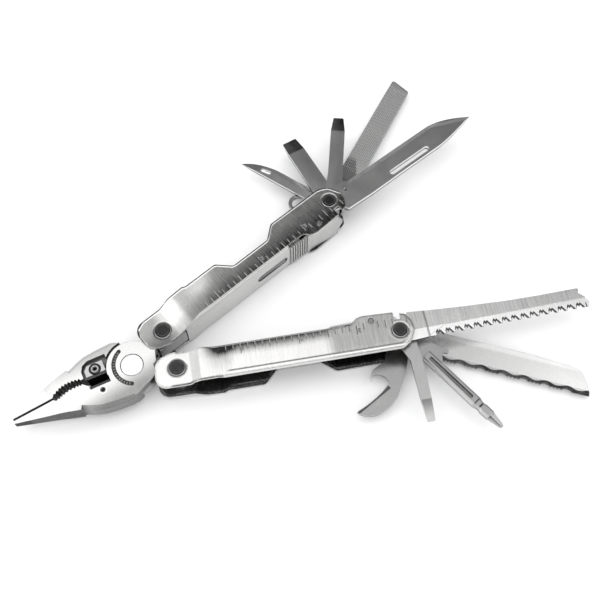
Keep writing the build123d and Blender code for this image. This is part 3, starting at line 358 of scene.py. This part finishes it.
def painted_rim_lines(mat, x, y, top, tone):
    """Handle B's stiffening rim: a painted shade line and a painted highlight line by the straight
    open edge.
    """
    run = mat.mul(mat.ramp(x, 20.5, 23.0), top)
    tone = mat.lerp(mat.mul(mat.band(y, 5.75, 6.45, 0.12), run), tone, 0.16)
    return mat.lerp(mat.mul(mat.band(y, 6.6, 7.3, 0.12), run), tone, 0.93)


def handle_material(side, base, rough, mark_painted_light, stroke_depth, seed):
    angle, flip = HANDLE_ANGLE[side], FLIP[side]
    mat = Metal(f"handle_{side}_sheet")
    x, y, z = mat.frame(FOLD[side], angle, flip)
    mat.z = z
    across = left_of(angle, flip)
    top = mat.face_z()
    # walls are brushed across the handle, the folded back along it
    wall = mat.brushed(y, x, z, fine=5.5)
    back = mat.brushed(x, z, y, fine=5.0, stretch=0.04)
    lines = mat.lerp(top, back, wall)
    scratches = mat.scratches(x, y, z, seed)
    smudge = mat.smudge(0.05)
    tone = base(mat, x, y, top)
    strokes = mat.noise(mat.join(mat.mul(x, 1.3), mat.mul(y, 0.06), mat.mul(z, 0.1)),
                        1.0, 3.0, 0.65)
    past_head = mat.mul(top, mat.ramp(x, 10.0, 18.0))
    tone = mat.add(tone, mat.vary(lines, 0.34), mat.vary(smudge, 0.16),
                   mat.vary(strokes, past_head, stroke_depth))
    # engraved rule marks: painted shade in the grooves on handle B, a painted highlight on handle A
    mark = mat.mul(mat.band(mat.abs(z), 8.76, 8.885, 0.02), top, mat.ramp(x, 14.2, 14.4))
    # painted shade inside the channel: the wall skins, then the floor
    inner_shade = mat.ramp(mat.mul(mat.split(mat.true_normal)[2], z), -0.3, -1.2)
    floor_shade = mat.mul(mat.ramp(mat.dot(mat.true_normal, across), 0.4, 0.8),
                       mat.ramp(y, -4.6, -4.9))
    tone = mat.lerp(mat.max(inner_shade, floor_shade), tone, mat.mul(tone, 0.16))
    # handle B's marks get a painted highlight near the folded back
    marks_highlight_zone = 0.0
    if side == "b":
        marks_highlight_zone = mat.mul(mat.ramp(y, -2.6, -4.0), mat.ramp(x, 68.0, 62.0))
    tone = mat.lerp(mark, tone, mat.lerp(marks_highlight_zone, mark_painted_light, 0.85))
    if side == "b":
        tone = painted_rim_lines(mat, x, y, top, tone)
    cut_edge = mat.mul(mat.sub(1.0, top),
                       mat.ramp(mat.abs(mat.dot(mat.true_normal, across)), 0.3, 0.7))
    tone = mat.lerp(mat.mul(cut_edge, 0.5), tone, 0.8)
    tone = mat.lerp(mat.mul(scratches, 0.5), tone, 0.85)
    tone = mat.limit(tone, 0.03, 0.93)
    rough = mat.add(rough, mat.vary(lines, 0.3), mat.vary(smudge, 0.22))
    rough = mat.lerp(mark, rough, 0.7)
    height = mat.add(mat.mul(lines, 0.8), mat.mul(scratches, -0.4),
                     mat.mul(mat.pits(scale=1.3, size=0.12), -0.15))
    # handle A gets a painted lip; handle B a painted rim highlight and dark outline in finish
    painted_rim_mask = None
    if side == "a":
        tone, height = painted_lip_lines(mat, x, y, z, top, tone, height)
    else:
        painted_rim_mask = mat.mul(top, mat.ramp(y, -1.5, 0.0), mat.ramp(x, -4.0, -2.0, 0.35, 1.0))
    return mat.finish(tone, rough, height, bump=0.35, bump_mm=0.018, edge=0.4, edge_mm=1.0,
                      tint=SHEET_TINT, painted_rim_mask=painted_rim_mask, anisotropy=0.5, grain_angle=angle)


# the mark tone paints the rule marks as a highlight on handle A and as shade on handle B
give("handle_a_frame", handle_material("a", handle_a_painted_light, rough=0.30, mark_painted_light=0.85,
                                       stroke_depth=0.3, seed=3.0))
give("handle_b_frame", handle_material("b", handle_b_painted_light, rough=0.27, mark_painted_light=0.06,
                                       stroke_depth=0.42, seed=41.0))


# ---------------------------------------------------------------- pivots: discs with a turned ring
def give_pivot(name, origin, tone, ring_radius, rim_radius, ring_width=0.3, rough=0.34,
               ring_depth=0.7, rim_tone=0.62):
    mat = Metal(name + "_finish")
    x, y, z = mat.from_point(origin)
    radius = mat.radius(x, y)
    turned = mat.noise(mat.join(mat.mul(radius, 9.0), 0.0, mat.mul(z, 0.2)), 1.0, 3.0, 0.6)
    ring = mat.band(radius, ring_radius - ring_width / 2, ring_radius + ring_width / 2, 0.05)
    rim = mat.ramp(radius, rim_radius - 0.32, rim_radius - 0.12)
    speck = mat.noise(mat.point, 3.2, 4.0, 0.7)
    tone = mat.add(tone, mat.vary(turned, 0.12), mat.vary(speck, 0.12))
    tone = mat.lerp(mat.mul(ring, ring_depth), tone, 0.03)
    tone = mat.lerp(rim, tone, rim_tone)
    tone = mat.lerp(mat.mul(mat.scratches(x, y, z, seed=9.0), 0.6), tone, 0.5)
    tone = mat.max(tone, 0.02)
    rough = mat.add(rough, mat.vary(turned, 0.25), mat.vary(speck, 0.2))
    height = mat.add(mat.mul(turned, 0.6), mat.mul(speck, 0.4))
    give(name, mat.finish(tone, rough, height, bump=0.3, bump_mm=0.012, edge=0.6, edge_mm=0.18))


for side, tone in (("a", 0.045), ("b", 0.05)):
    give_pivot(f"head_pivot_{side}", FOLD[side], tone, ring_radius=2.62, rim_radius=3.7)
for side, tone in (("a", 0.05), ("b", 0.045)):
    give_pivot(f"tool_pivot_{side}", TOOL_PIVOT[side], tone, ring_radius=2.37, rim_radius=3.45)
give_pivot("main_pivot", HINGE, 0.8, ring_radius=3.6, rim_radius=5.0, ring_width=0.2,
           rough=0.3, ring_depth=0.12, rim_tone=0.75)
give_pivot("main_pivot_cap", HINGE, 0.9, ring_radius=9.0, rim_radius=9.0, ring_width=0.1,
           rough=0.24)


# ---------------------------------------------------------------- small parts
def screw_material(name):
    """Bright ring around a dark centre, with a dark outline: painted shade in the socket and in the
    gap round the head.
    """
    low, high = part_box(name)
    mat = Metal(name + "_finish")
    x, y, _ = mat.from_point([(a + b) / 2 * MM for a, b in zip(low, high)])
    radius = mat.radius(x, y)
    grain = mat.noise(mat.point, 4.0, 4.0, 0.6)
    tone = mat.add(0.2, mat.vary(grain, 0.16))
    tone = mat.lerp(mat.band(radius, 0.95, 1.6, 0.1), tone, 0.42)
    tone = mat.lerp(mat.ramp(radius, 0.95, 0.8), tone, 0.02)
    tone = mat.lerp(mat.ramp(radius, 1.65, 1.8), tone, 0.035)
    rough = mat.add(0.3, mat.vary(grain, 0.2))
    return mat.finish(tone, rough, grain, bump=0.3, bump_mm=0.01, edge=0.8, edge_mm=0.15)


def pin_material(name, tone):
    """Mottled grey for pins and springs."""
    mat = Metal(name + "_finish")
    grain = mat.noise(mat.point, 2.6, 4.0, 0.65)
    cloud = mat.noise(mat.point, 0.5, 2.0)
    tone = mat.max(mat.add(tone, mat.vary(grain, 0.2), mat.vary(cloud, 0.1)), 0.03)
    rough = mat.add(0.36, mat.vary(grain, 0.3))
    return mat.finish(tone, rough, grain, bump=0.3, bump_mm=0.012, edge=0.7, edge_mm=0.16)


def slider_material(side):
    """Sliding lock: brushed, with painted shade between the ribs."""
    mat = Metal(f"lock_slider_{side}_finish")
    x, y, z = mat.frame(FOLD[side], HANDLE_ANGLE[side], FLIP[side])
    rib_pitch, rib_start = 1.36, 69.25
    lines_z = mat.brushed(z, x, y, fine=5.0, stretch=0.06)
    lines_x = mat.brushed(x, y, z, fine=6.0)
    lines = mat.lerp(mat.face_z(), lines_z, lines_x)
    gaps = mat.mul(mat.stripes(mat.add(x, rib_pitch / 2 - rib_start), rib_pitch, soft=0.1),
                   mat.band(x, 68.6, 78.4, 0.1))
    smudge = mat.smudge(0.09)
    tone = mat.add(0.52, mat.vary(lines, 0.3), mat.vary(smudge, 0.2))
    shaded_groove = mat.mul(gaps, mat.ramp(y, -7.6, -7.0))
    tone = mat.lerp(mat.mul(shaded_groove, 0.5), tone, 0.12)
    tone = mat.lerp(mat.mul(mat.scratches(x, z, y, seed=7.0), 0.6), tone, 0.85)
    rough = mat.add(0.3, mat.vary(lines, 0.3), mat.vary(smudge, 0.2))
    return mat.finish(mat.math("MINIMUM", tone, 0.9), rough, lines, bump=0.35, bump_mm=0.016,
                      edge=0.65, edge_mm=0.22, tint=SHEET_TINT)


def washer_material():
    """Dull bronze."""
    mat = Metal("friction_washer_bronze")
    grain = mat.noise(mat.point, 2.0, 4.0, 0.6)
    tone = mat.add(0.42, mat.vary(grain, 0.3))
    rough = mat.add(0.42, mat.vary(grain, 0.3))
    return mat.finish(tone, rough, grain, bump=0.3, bump_mm=0.012, edge=0.3, edge_mm=0.1,
                      tint=(1.0, 0.86, 0.66))


for name in ("cutter_screw_upper", "cutter_screw_lower"):
    give(name, screw_material(name))
for side in "ab":
    for kind, tone in (("lock_pin", 0.3), ("lock_spring", 0.22), ("head_spring", 0.4)):
        give(f"{kind}_{side}", pin_material(f"{kind}_{side}", tone))
for side in "ab":
    give(f"lock_slider_{side}", slider_material(side))
for side in "ab":
    give(f"tool_washers_{side}", washer_material())


# ---------------------------------------------------------------- jaws
# The jaw frame has x from the hinge to the nose and y towards handle A's side.
def jaw_recess_shade(mat, x, y, z, top, lower):
    """Mask of painted shade in the machined teeth, throat and cutter pocket."""
    off_edge = mat.abs(mat.add(y, 0.2 if lower else -1.0))
    mouth = mat.mul(mat.band(x, 20.5, 55.0, 0.3), mat.ramp(top, 0.6, 0.2),
                    mat.ramp(off_edge, 4.5, 3.2))
    throat = mat.mul(mat.band(x, 7.0, 21.5, 0.5), mat.ramp(top, 0.6, 0.2),
                     mat.ramp(mat.abs(y), 10.5, 9.0))
    pocket = mat.mul(mat.band(x, 8.5, 21.3, 0.2), mat.band(mat.abs(z), 1.8, 2.4, 0.05),
                     mat.band(mat.abs(y), 1.0, 10.3, 0.2))
    return mat.max(mat.max(mouth, throat), pocket)


def ear_groove(mat, x, y, z, top, tone):
    """Painted shade in the ring channel round the lower jaw's hinge ear, lighter on the raised
    dashes.
    """
    radius = mat.radius(mat.add(x, 1.3), mat.add(y, -0.1))
    shaded_groove = mat.mul(mat.band(radius, 8.2, 10.0, 0.06), mat.band(z, 4.35, 4.8, 0.05),
                     mat.ramp(x, -14.0, -13.0), top)
    speck = mat.noise(mat.point, 5.0, 3.0, 0.7)
    rise = mat.ramp(z, 4.56, 4.64)
    return mat.lerp(shaded_groove, tone, mat.add(0.015, mat.mul(speck, 0.08), mat.mul(rise, 0.3)))


def jaw_material(name, lower):
    mat = Metal(name + "_finish")
    x, y, z = mat.frame(HINGE, JAW_ANGLE, -1)
    top = mat.face_z(0.55, 0.9)
    # brushed nose, blending into a grainier ear
    nose = mat.brushed(mat.add(x, mat.mul(y, 0.25)), y, z, fine=6.0)
    ear = mat.noise(mat.point, 2.4, 5.0, 0.65)
    shoulder = mat.brushed(y, x, z, fine=6.5, stretch=0.06)
    lines = mat.lerp(mat.ramp(x, 10.0, 24.0), mat.lerp(0.6, ear, shoulder), nose)
    smudge = mat.smudge(0.09)
    if lower:
        slanted = mat.add(y, mat.mul(x, 0.2))
        shade = mat.lerp(mat.ramp(x, 24.0, 34.0), mat.ramp(slanted, -10.5, 1.0, 0.34, 0.88), 0.86)
    else:
        shade = mat.ramp(y, 12.0, 2.0, 0.56, 0.88)
    tone = mat.add(shade, mat.vary(lines, 0.26), mat.vary(smudge, 0.2))
    mottle = mat.noise(mat.point, 0.9, 4.0, 0.65, 0.3)
    tone = mat.add(tone, mat.mul(mat.ramp(x, 30.0, 38.0), mat.sub(mottle, 0.5),
                                 0.5 if lower else 0.16))
    # tilted facets get painted shade
    tone = mat.lerp(top, mat.mul(tone, 0.55), tone)
    # painted shade in the teeth, throat and cutter pocket
    shaded_recesses = jaw_recess_shade(mat, x, y, z, top, lower)
    tone = mat.lerp(mat.mul(shaded_recesses, 0.72), tone, 0.07)
    # painted shade on the lower jaw's side flank along the mouth
    if lower:
        shaded_flank = mat.mul(mat.ramp(top, 0.5, 0.2), mat.ramp(y, -0.5, -1.2),
                        mat.ramp(x, 22.0, 27.0))
        tone = mat.lerp(shaded_flank, tone, 0.02)
    # painted shadow of the teeth along the line where the jaws meet, drifting 0.78 towards -y over
    # 17.7 of length
    teeth_shadow_y = mat.add(0.12, mat.mul(mat.add(x, -36.3), -0.78 / 17.7))
    teeth_shadow = mat.mul(top, mat.band(x, 35.4, 54.0, 0.4),
                   mat.ramp(mat.abs(mat.sub(y, teeth_shadow_y)), 0.62, 0.44))
    tone = mat.lerp(teeth_shadow, tone, 0.05)
    # bright ring at the cutter screw's hole
    hole = mat.radius(mat.add(x, -SCREW_X), mat.add(y, SCREW_Y if lower else -SCREW_Y))
    hole_ring = mat.mul(mat.band(hole, 1.3, 1.8, 0.08), top, mat.ramp(mat.abs(z), 4.5, 4.8))
    tone = mat.lerp(hole_ring, tone, 0.95)
    if lower:
        tone = ear_groove(mat, x, y, z, top, tone)
    scratches = mat.scratches(x, y, z, seed=21.0 if lower else 77.0)
    tone = mat.limit(mat.lerp(mat.mul(scratches, 0.6), tone, 0.92), 0.03, 0.93)
    rough = mat.add(0.27, mat.vary(lines, 0.26), mat.vary(smudge, 0.2), mat.mul(shaded_recesses, 0.25))
    height = mat.add(mat.mul(lines, 0.8), mat.mul(mat.pits(scale=1.6, size=0.14), -0.2))
    return mat.finish(tone, rough, height, bump=0.4, bump_mm=0.02, edge=0.5, edge_mm=0.2,
                      tint=(1.0, 0.998, 0.99))


def cutter_material(name):
    """Cutter insert: painted shade on the cutting bevel by the jaw line and in the seat around its
    screw.
    """
    mat = Metal(name + "_finish")
    x, y, z = mat.frame(HINGE, JAW_ANGLE, -1)
    lines = mat.brushed(x, y, z, fine=7.0, stretch=0.06)
    smudge = mat.smudge(0.2)
    tone = mat.add(0.62, mat.vary(lines, 0.3), mat.vary(smudge, 0.25))
    tone = mat.lerp(mat.ramp(mat.abs(y), 3.05, 2.9), tone, 0.07)
    seat = mat.radius(mat.add(x, -SCREW_X), mat.add(mat.abs(y), -SCREW_Y))
    tone = mat.lerp(mat.ramp(seat, 2.75, 2.55), tone, 0.05)
    rough = mat.add(0.3, mat.vary(lines, 0.25))
    return mat.finish(mat.math("MINIMUM", tone, 0.9), rough, lines, bump=0.35, bump_mm=0.015,
                      edge=0.7, edge_mm=0.2)


give("jaw_lower", jaw_material("jaw_lower", lower=True))
give("jaw_upper", jaw_material("jaw_upper", lower=False))
for name in ("cutter_upper", "cutter_lower"):
    give(name, cutter_material(name))


# ---------------------------------------------------------------- folding implements
# Each base returns the tone, the roughness to add and the bump height to add.
def knife_base(mat, x, y, z, top):
    bevel = mat.mul(mat.ramp(y, 1.45, 1.6), mat.ramp(x, 13.0, 15.0))
    face = mat.add(0.44, mat.mul(bevel, 0.12), mat.mul(mat.ramp(x, 84.0, 50.0), 0.05))
    return mat.lerp(top, 0.85, face), mat.mul(bevel, -0.05), 0.0


def file_base(mat, x, y, z, top):
    zone = mat.mul(mat.band(x, 27.5, 83.5, 0.5), top)
    # crossed cuts: (x, y) parts of the two stripe directions
    cuts = [mat.stripes(mat.add(mat.mul(x, 0.78), mat.mul(y, slant)), pitch=0.85, soft=0.18)
            for slant in (0.62, -0.62)]
    hatch = mat.mul(mat.add(*cuts), 0.5)
    # painted shade towards the root
    root_shade = mat.ramp(x, 24.0, 12.0)
    # painted shadow of the neighbouring tools at the root, bounded in the row frame's axes
    row_x, row_y, _ = mat.from_point(TOOL_PIVOT["a"])
    shadow = mat.mul(mat.ramp(row_x, 14.3, 13.7), mat.ramp(x, 36.0, 33.0))
    root_shade = mat.max(root_shade, mat.mul(shadow, mat.ramp(row_y, 17.6, 17.0), 1.2))
    face = mat.add(0.68, mat.mul(root_shade, -0.34), mat.mul(shadow, -0.4),
                   mat.mul(zone, mat.vary(hatch, 0.75)))
    return mat.lerp(top, 0.5, face), mat.mul(zone, 0.08), mat.mul(zone, hatch, 2.2)


def driver_base(tip_start):
    """Base for a flat driver whose darker tip begins at tip_start."""
    def base(mat, x, y, z, top):
        tip = mat.ramp(x, tip_start - 0.6, tip_start + 0.6)
        slope_strength = 1.0
        slope = mat.mul(mat.ramp(y, -4.5, 0.5, -0.05, 0.05), slope_strength)
        face = mat.add(0.45, mat.mul(tip, -0.34), slope)
        return mat.lerp(top, 0.72, face), mat.mul(tip, 0.1), 0.0
    return base


def awl_base(mat, x, y, z, top):
    bevel = mat.ramp(y, -3.4, -4.0)
    return mat.lerp(top, 0.72, mat.add(0.5, mat.mul(bevel, 0.2))), mat.mul(bevel, -0.06), 0.0


def ring_base(mat, x, y, z, top):
    return mat.add(0.32, mat.mul(mat.ramp(x, 8.0, 12.0), 0.06)), 0.0, 0.0


def saw_base(mat, x, y, z, top):
    tooth_pitch = 4.27
    ground = mat.ramp(y, 0.3, 0.5)
    tang = mat.ramp(x, 13.1, 12.2)
    # painted shadow line at the step from the tang to the blade
    step = mat.mul(mat.band(x, 12.0, 12.9, 0.15), 0.6)
    phase = mat.mul(mat.fract(mat.math("DIVIDE", mat.add(x, -15.5), tooth_pitch)), tooth_pitch)
    # two V notches in each pitch: (lowest y, centre within the pitch)
    notches = []
    for floor_y, centre in ((1.95, 0.8), (2.1, 1.95)):
        flank_y = mat.add(floor_y, mat.mul(mat.abs(mat.add(phase, -centre)), 1.5))
        notches.append(mat.ramp(mat.sub(y, flank_y), -0.12, 0.12))
    # painted shade in the gullets
    gullet_shade = mat.mul(mat.max(*notches), mat.band(x, 15.3, 84.3, 0.3))
    grind = mat.mul(ground, mat.stripes(mat.add(x, mat.mul(y, 0.15)), 0.55, soft=0.25), 0.08)
    strokes = mat.noise(mat.join(mat.mul(x, 1.5), mat.mul(y, 0.05), z), 1.0, 3.0, 0.6)
    face = mat.add(0.6, mat.mul(ground, 0.3), mat.mul(tang, -0.04), grind,
                   mat.vary(strokes, mat.lerp(ground, 0.55, 0.1)))
    face = mat.lerp(step, face, 0.08)
    face = mat.lerp(gullet_shade, face, 0.03)
    # tooth flanks: painted shade near the teeth
    shaded_flank = mat.lerp(mat.ramp(y, 1.5, 2.2), 0.55, 0.05)
    return mat.lerp(top, shaded_flank, face), mat.mul(ground, -0.06), mat.mul(grind, 4.0)


def serrated_base(mat, x, y, z, top):
    # the edge runs from y 2.7 at x 21, falling 2.3 over 65.6
    edge_y = mat.add(2.7, mat.mul(mat.add(x, -21.0), -2.3 / 65.6))
    inset = mat.sub(edge_y, y)
    ground = mat.mul(mat.ramp(inset, 2.42, 2.3), mat.ramp(x, 20.5, 21.5))
    wavelength = 9.5
    wave = mat.math("SINE", mat.mul(mat.add(x, -27.05), 2.0 * PI / wavelength))
    limits = [mat.add(reach, mat.mul(wave, 0.45)) for reach in (1.95, 1.6)]
    teeth = mat.mul(mat.ramp(inset, *limits), mat.ramp(x, 20.5, 21.5))
    # painted shading: darker towards the pivot, brighter towards the tip
    face = mat.add(mat.ramp(x, 8.0, 82.0, 0.42, 0.82, smooth=False), mat.mul(ground, -0.1),
                   mat.mul(mat.ramp(inset, 9.5, 11.0), 0.15))
    # painted shade in the serration scallops
    face = mat.lerp(teeth, face, 0.05)
    # flanks: painted shade near the edge
    shaded_flank = mat.lerp(mat.ramp(inset, 3.0, 2.0), 0.6, 0.05)
    return mat.lerp(top, shaded_flank, face), mat.mul(teeth, 0.1), 0.0


def phillips_base(mat, x, y, z, top):
    axis_y = 2.5         # the shank's axis lies at y -2.5
    slot = mat.mul(mat.band(x, 16.0, 43.0, 0.4),
                   mat.band(mat.abs(mat.add(y, axis_y)), -1.0, 0.86, 0.06),
                   mat.ramp(mat.abs(mat.add(z, -0.65)), 1.75, 1.3))
    tip = mat.ramp(x, 51.0, 53.5)
    # painted shade in the slot's edge grooves and the collar rings
    shaded_groove = mat.mul(slot, mat.ramp(mat.abs(mat.add(y, axis_y)), 0.3, 0.45))
    collar = mat.max(mat.band(x, 43.6, 44.2, 0.15), mat.band(x, 46.0, 46.8, 0.15))
    face = mat.lerp(slot, mat.add(0.36, mat.mul(tip, 0.12)), 0.2)
    face = mat.lerp(mat.max(shaded_groove, collar), face, 0.03)
    return mat.lerp(top, 0.45, face), 0.0, 0.0


def small_driver_base(mat, x, y, z, top):
    tip = mat.ramp(x, 31.0, 31.6)
    fade = mat.ramp(x, 31.5, 40.0)
    face = mat.add(0.43, mat.mul(tip, -0.22), mat.mul(fade, 0.3))
    return mat.lerp(top, 0.6, face), 0.0, 0.0


def can_opener_base(mat, x, y, z, top):
    hook = mat.mul(mat.ramp(x, 20.0, 22.5),
                   mat.ramp(mat.add(y, mat.mul(x, -0.42)), -15.6, -14.6))
    return mat.lerp(top, 0.5, mat.add(0.36, mat.mul(hook, 0.24))), mat.mul(hook, -0.08), 0.0


def tool_material(name, side, angle, base, rough, grain="blast", fine=5.0,
                  anisotropy=0.0, tang_shade=0.35, tang_shade_radius=8.5):
    """grain is blast, along or across; fine is the scale of the brushing."""
    mat = Metal(name + "_finish")
    x, y, z = mat.frame(TOOL_PIVOT[side], angle, FLIP[side])
    if grain == "blast":
        lines = mat.add(mat.mul(mat.noise(mat.point, 4.2, 5.0, 0.72), 0.7),
                        mat.mul(mat.noise(mat.point, 1.1, 3.0, 0.6), 0.3))
    elif grain == "along":
        lines = mat.brushed(x, y, z, fine)
    else:
        lines = mat.brushed(y, x, z, fine)
    smudge = mat.smudge(0.08)
    tone, rough_add, height_add = base(mat, x, y, z, mat.face_z(0.6, 0.9))
    tone = mat.add(tone, mat.vary(lines, 0.22), mat.vary(smudge, 0.14))
    # painted shade around the tang, where the handle shades the tool's root
    tang = mat.ramp(mat.radius(x, y), tang_shade_radius, tang_shade_radius - 3.5)
    tone = mat.lerp(mat.mul(tang, tang_shade), tone, mat.mul(tone, 0.4))
    tone = mat.lerp(mat.mul(mat.scratches(x, y, z, seed=len(name) * 3.7), 0.55), tone, 0.85)
    # sides of the blank: bright near the upper face, with painted shade towards the lower one
    (_, _, low), (_, _, high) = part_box(name)
    depth = mat.math("DIVIDE", mat.add(mat.split(mat.point)[2], -low * MM), (high - low) * MM)
    lower_side_shade = mat.mul(mat.sub(1.0, mat.face_z(0.3, 0.6)), mat.ramp(depth, 0.52, 0.3))
    tone = mat.limit(mat.lerp(mat.mul(lower_side_shade, 0.92), tone, 0.06), 0.025, 0.93)
    rough = mat.add(rough, rough_add, mat.vary(lines, 0.25), mat.vary(smudge, 0.2))
    height = mat.add(mat.mul(lines, 0.7), height_add,
                     mat.mul(mat.pits(scale=1.7, size=0.1), -0.15))
    return mat.finish(tone, rough, height, bump=0.35, bump_mm=0.02, edge=0.7, edge_mm=0.2,
                      tint=(1.0, 1.0, 0.995), anisotropy=anisotropy, grain_angle=angle)


# name, handle, angle from +X in degrees, base, roughness, other settings
IMPLEMENTS = [
    ("knife", "a", 38.6, knife_base, 0.34, {}),
    ("file", "a", 63.29, file_base, 0.36, dict(grain="along", fine=6.0)),
    ("driver_large", "a", 86.44, driver_base(42.0), 0.36, dict(grain="along")),
    ("driver_medium", "a", 120.4, driver_base(34.8), 0.36, dict(grain="along")),
    ("awl", "a", 147.9, awl_base, 0.34, {}),
    ("lanyard_ring", "a", 160.0, ring_base, 0.3, {}),
    ("saw", "b", 11.79, saw_base, 0.28, dict(grain="across", fine=6.0, anisotropy=0.4)),
    ("serrated_knife", "b", -16.52, serrated_base, 0.28, {}),
    ("phillips_driver", "b", -46.5, phillips_base, 0.34, dict(tang_shade=0.6, tang_shade_radius=12.0)),
    ("driver_small", "b", -79.6, small_driver_base, 0.32, dict(grain="along")),
    ("can_opener", "b", -116.99, can_opener_base, 0.33, dict(tang_shade=0.85, tang_shade_radius=14.0)),
]
for name, side, angle, base, rough, settings in IMPLEMENTS:
    give(name, tool_material(name, side, angle, base, rough, **settings))


# ---------------------------------------------------------------- floor, light, camera
def build_floor():
    material = bpy.data.materials.new("floor_paper")
    material.use_nodes = True
    shader = material.node_tree.nodes["Principled BSDF"].inputs
    shader["Base Color"].default_value = (0.9, 0.9, 0.905, 1)
    shader["Roughness"].default_value = 0.9
    shader["Specular IOR Level"].default_value = 0.1
    bpy.ops.mesh.primitive_circle_add(vertices=96, radius=6.0, fill_type="NGON",
                                      location=(0, 0, -0.0004))
    floor = bpy.context.object
    floor.name = "floor"
    floor.data.materials.append(material)


def build_world():
    """Grey studio: reflections see soft bright sides, diffuse light is even."""
    world = bpy.data.worlds.new("studio")
    bpy.context.scene.world = world
    world.use_nodes = True
    sky = Graph(world.node_tree)
    x, y, z = sky.split(sky.node("TexCoord").outputs["Generated"])
    horizon = sky.ramp(z, 0.0, 0.5, 0.62, 0.14)
    front = sky.mul(sky.ramp(y, 0.1, -0.5, 0.0, 0.85), sky.ramp(z, 0.05, 0.4, 0.5, 1.0))
    right = sky.mul(sky.ramp(x, 0.45, 0.75, 0.0, 0.55), sky.ramp(z, 0.1, 0.3, 0.2, 1.0))
    left = sky.mul(sky.ramp(x, -0.45, -0.8, 0.0, 0.62), sky.ramp(z, 0.9, 0.68, 0.0, 1.0))
    reflected = sky.add(horizon, front, right, left)
    ray = sky.node("LightPath").outputs
    level = sky.lerp(ray["Is Diffuse Ray"], reflected, 1.0)
    level = sky.lerp(ray["Is Camera Ray"], level, 0.93)
    background = sky.node("Background", {"Color": sky.join(level, level, level),
                                         "Strength": 1.0})
    sky.node("OutputWorld", {0: background.outputs[0]})


def add_softbox(name, location, target, width, height, radiance):
    light = bpy.data.lights.new(name, "AREA")
    light.shape = "RECTANGLE"
    light.size, light.size_y = width, height
    light.energy = radiance * PI * width * height
    lamp = bpy.data.objects.new(name, light)
    bpy.context.scene.collection.objects.link(lamp)
    lamp.location = location
    aim = Vector(target) - Vector(location)
    lamp.rotation_euler = aim.to_track_quat("-Z", "Y").to_euler()


def build_camera():
    offset_mm = (72.161, -129.615, 359.607)      # from the jaw hinge
    tilt, roll = 24.355, 0.277                   # degrees, about X and the view axis
    lens = bpy.data.cameras.new("camera")
    lens.lens = 52.54098
    lens.sensor_width = 36.0
    lens.sensor_fit = "HORIZONTAL"
    lens.clip_start, lens.clip_end = 0.01, 50.0
    camera = bpy.data.objects.new("camera", lens)
    bpy.context.scene.collection.objects.link(camera)
    place = Vector([(start + step) / MM for start, step in zip(HINGE, offset_mm)])
    turned = Matrix.Rotation(radians(tilt), 4, "X") @ Matrix.Rotation(radians(roll), 4, "Z")
    camera.matrix_world = Matrix.Translation(place) @ turned
    bpy.context.scene.camera = camera


build_floor()
build_world()
add_softbox("key_overhead", location=(-0.1, 0.03, 1.0), target=(-0.1, 0.03, 0.0),
            width=1.56, height=0.78, radiance=1.25)
add_softbox("fill_left", location=(-0.9, -0.35, 0.55), target=(0, 0, 0),
            width=0.5, height=0.7, radiance=0.7)
build_camera()
bpy.context.scene.view_settings.view_transform = "Standard"
bpy.context.scene.view_settings.look = "None"
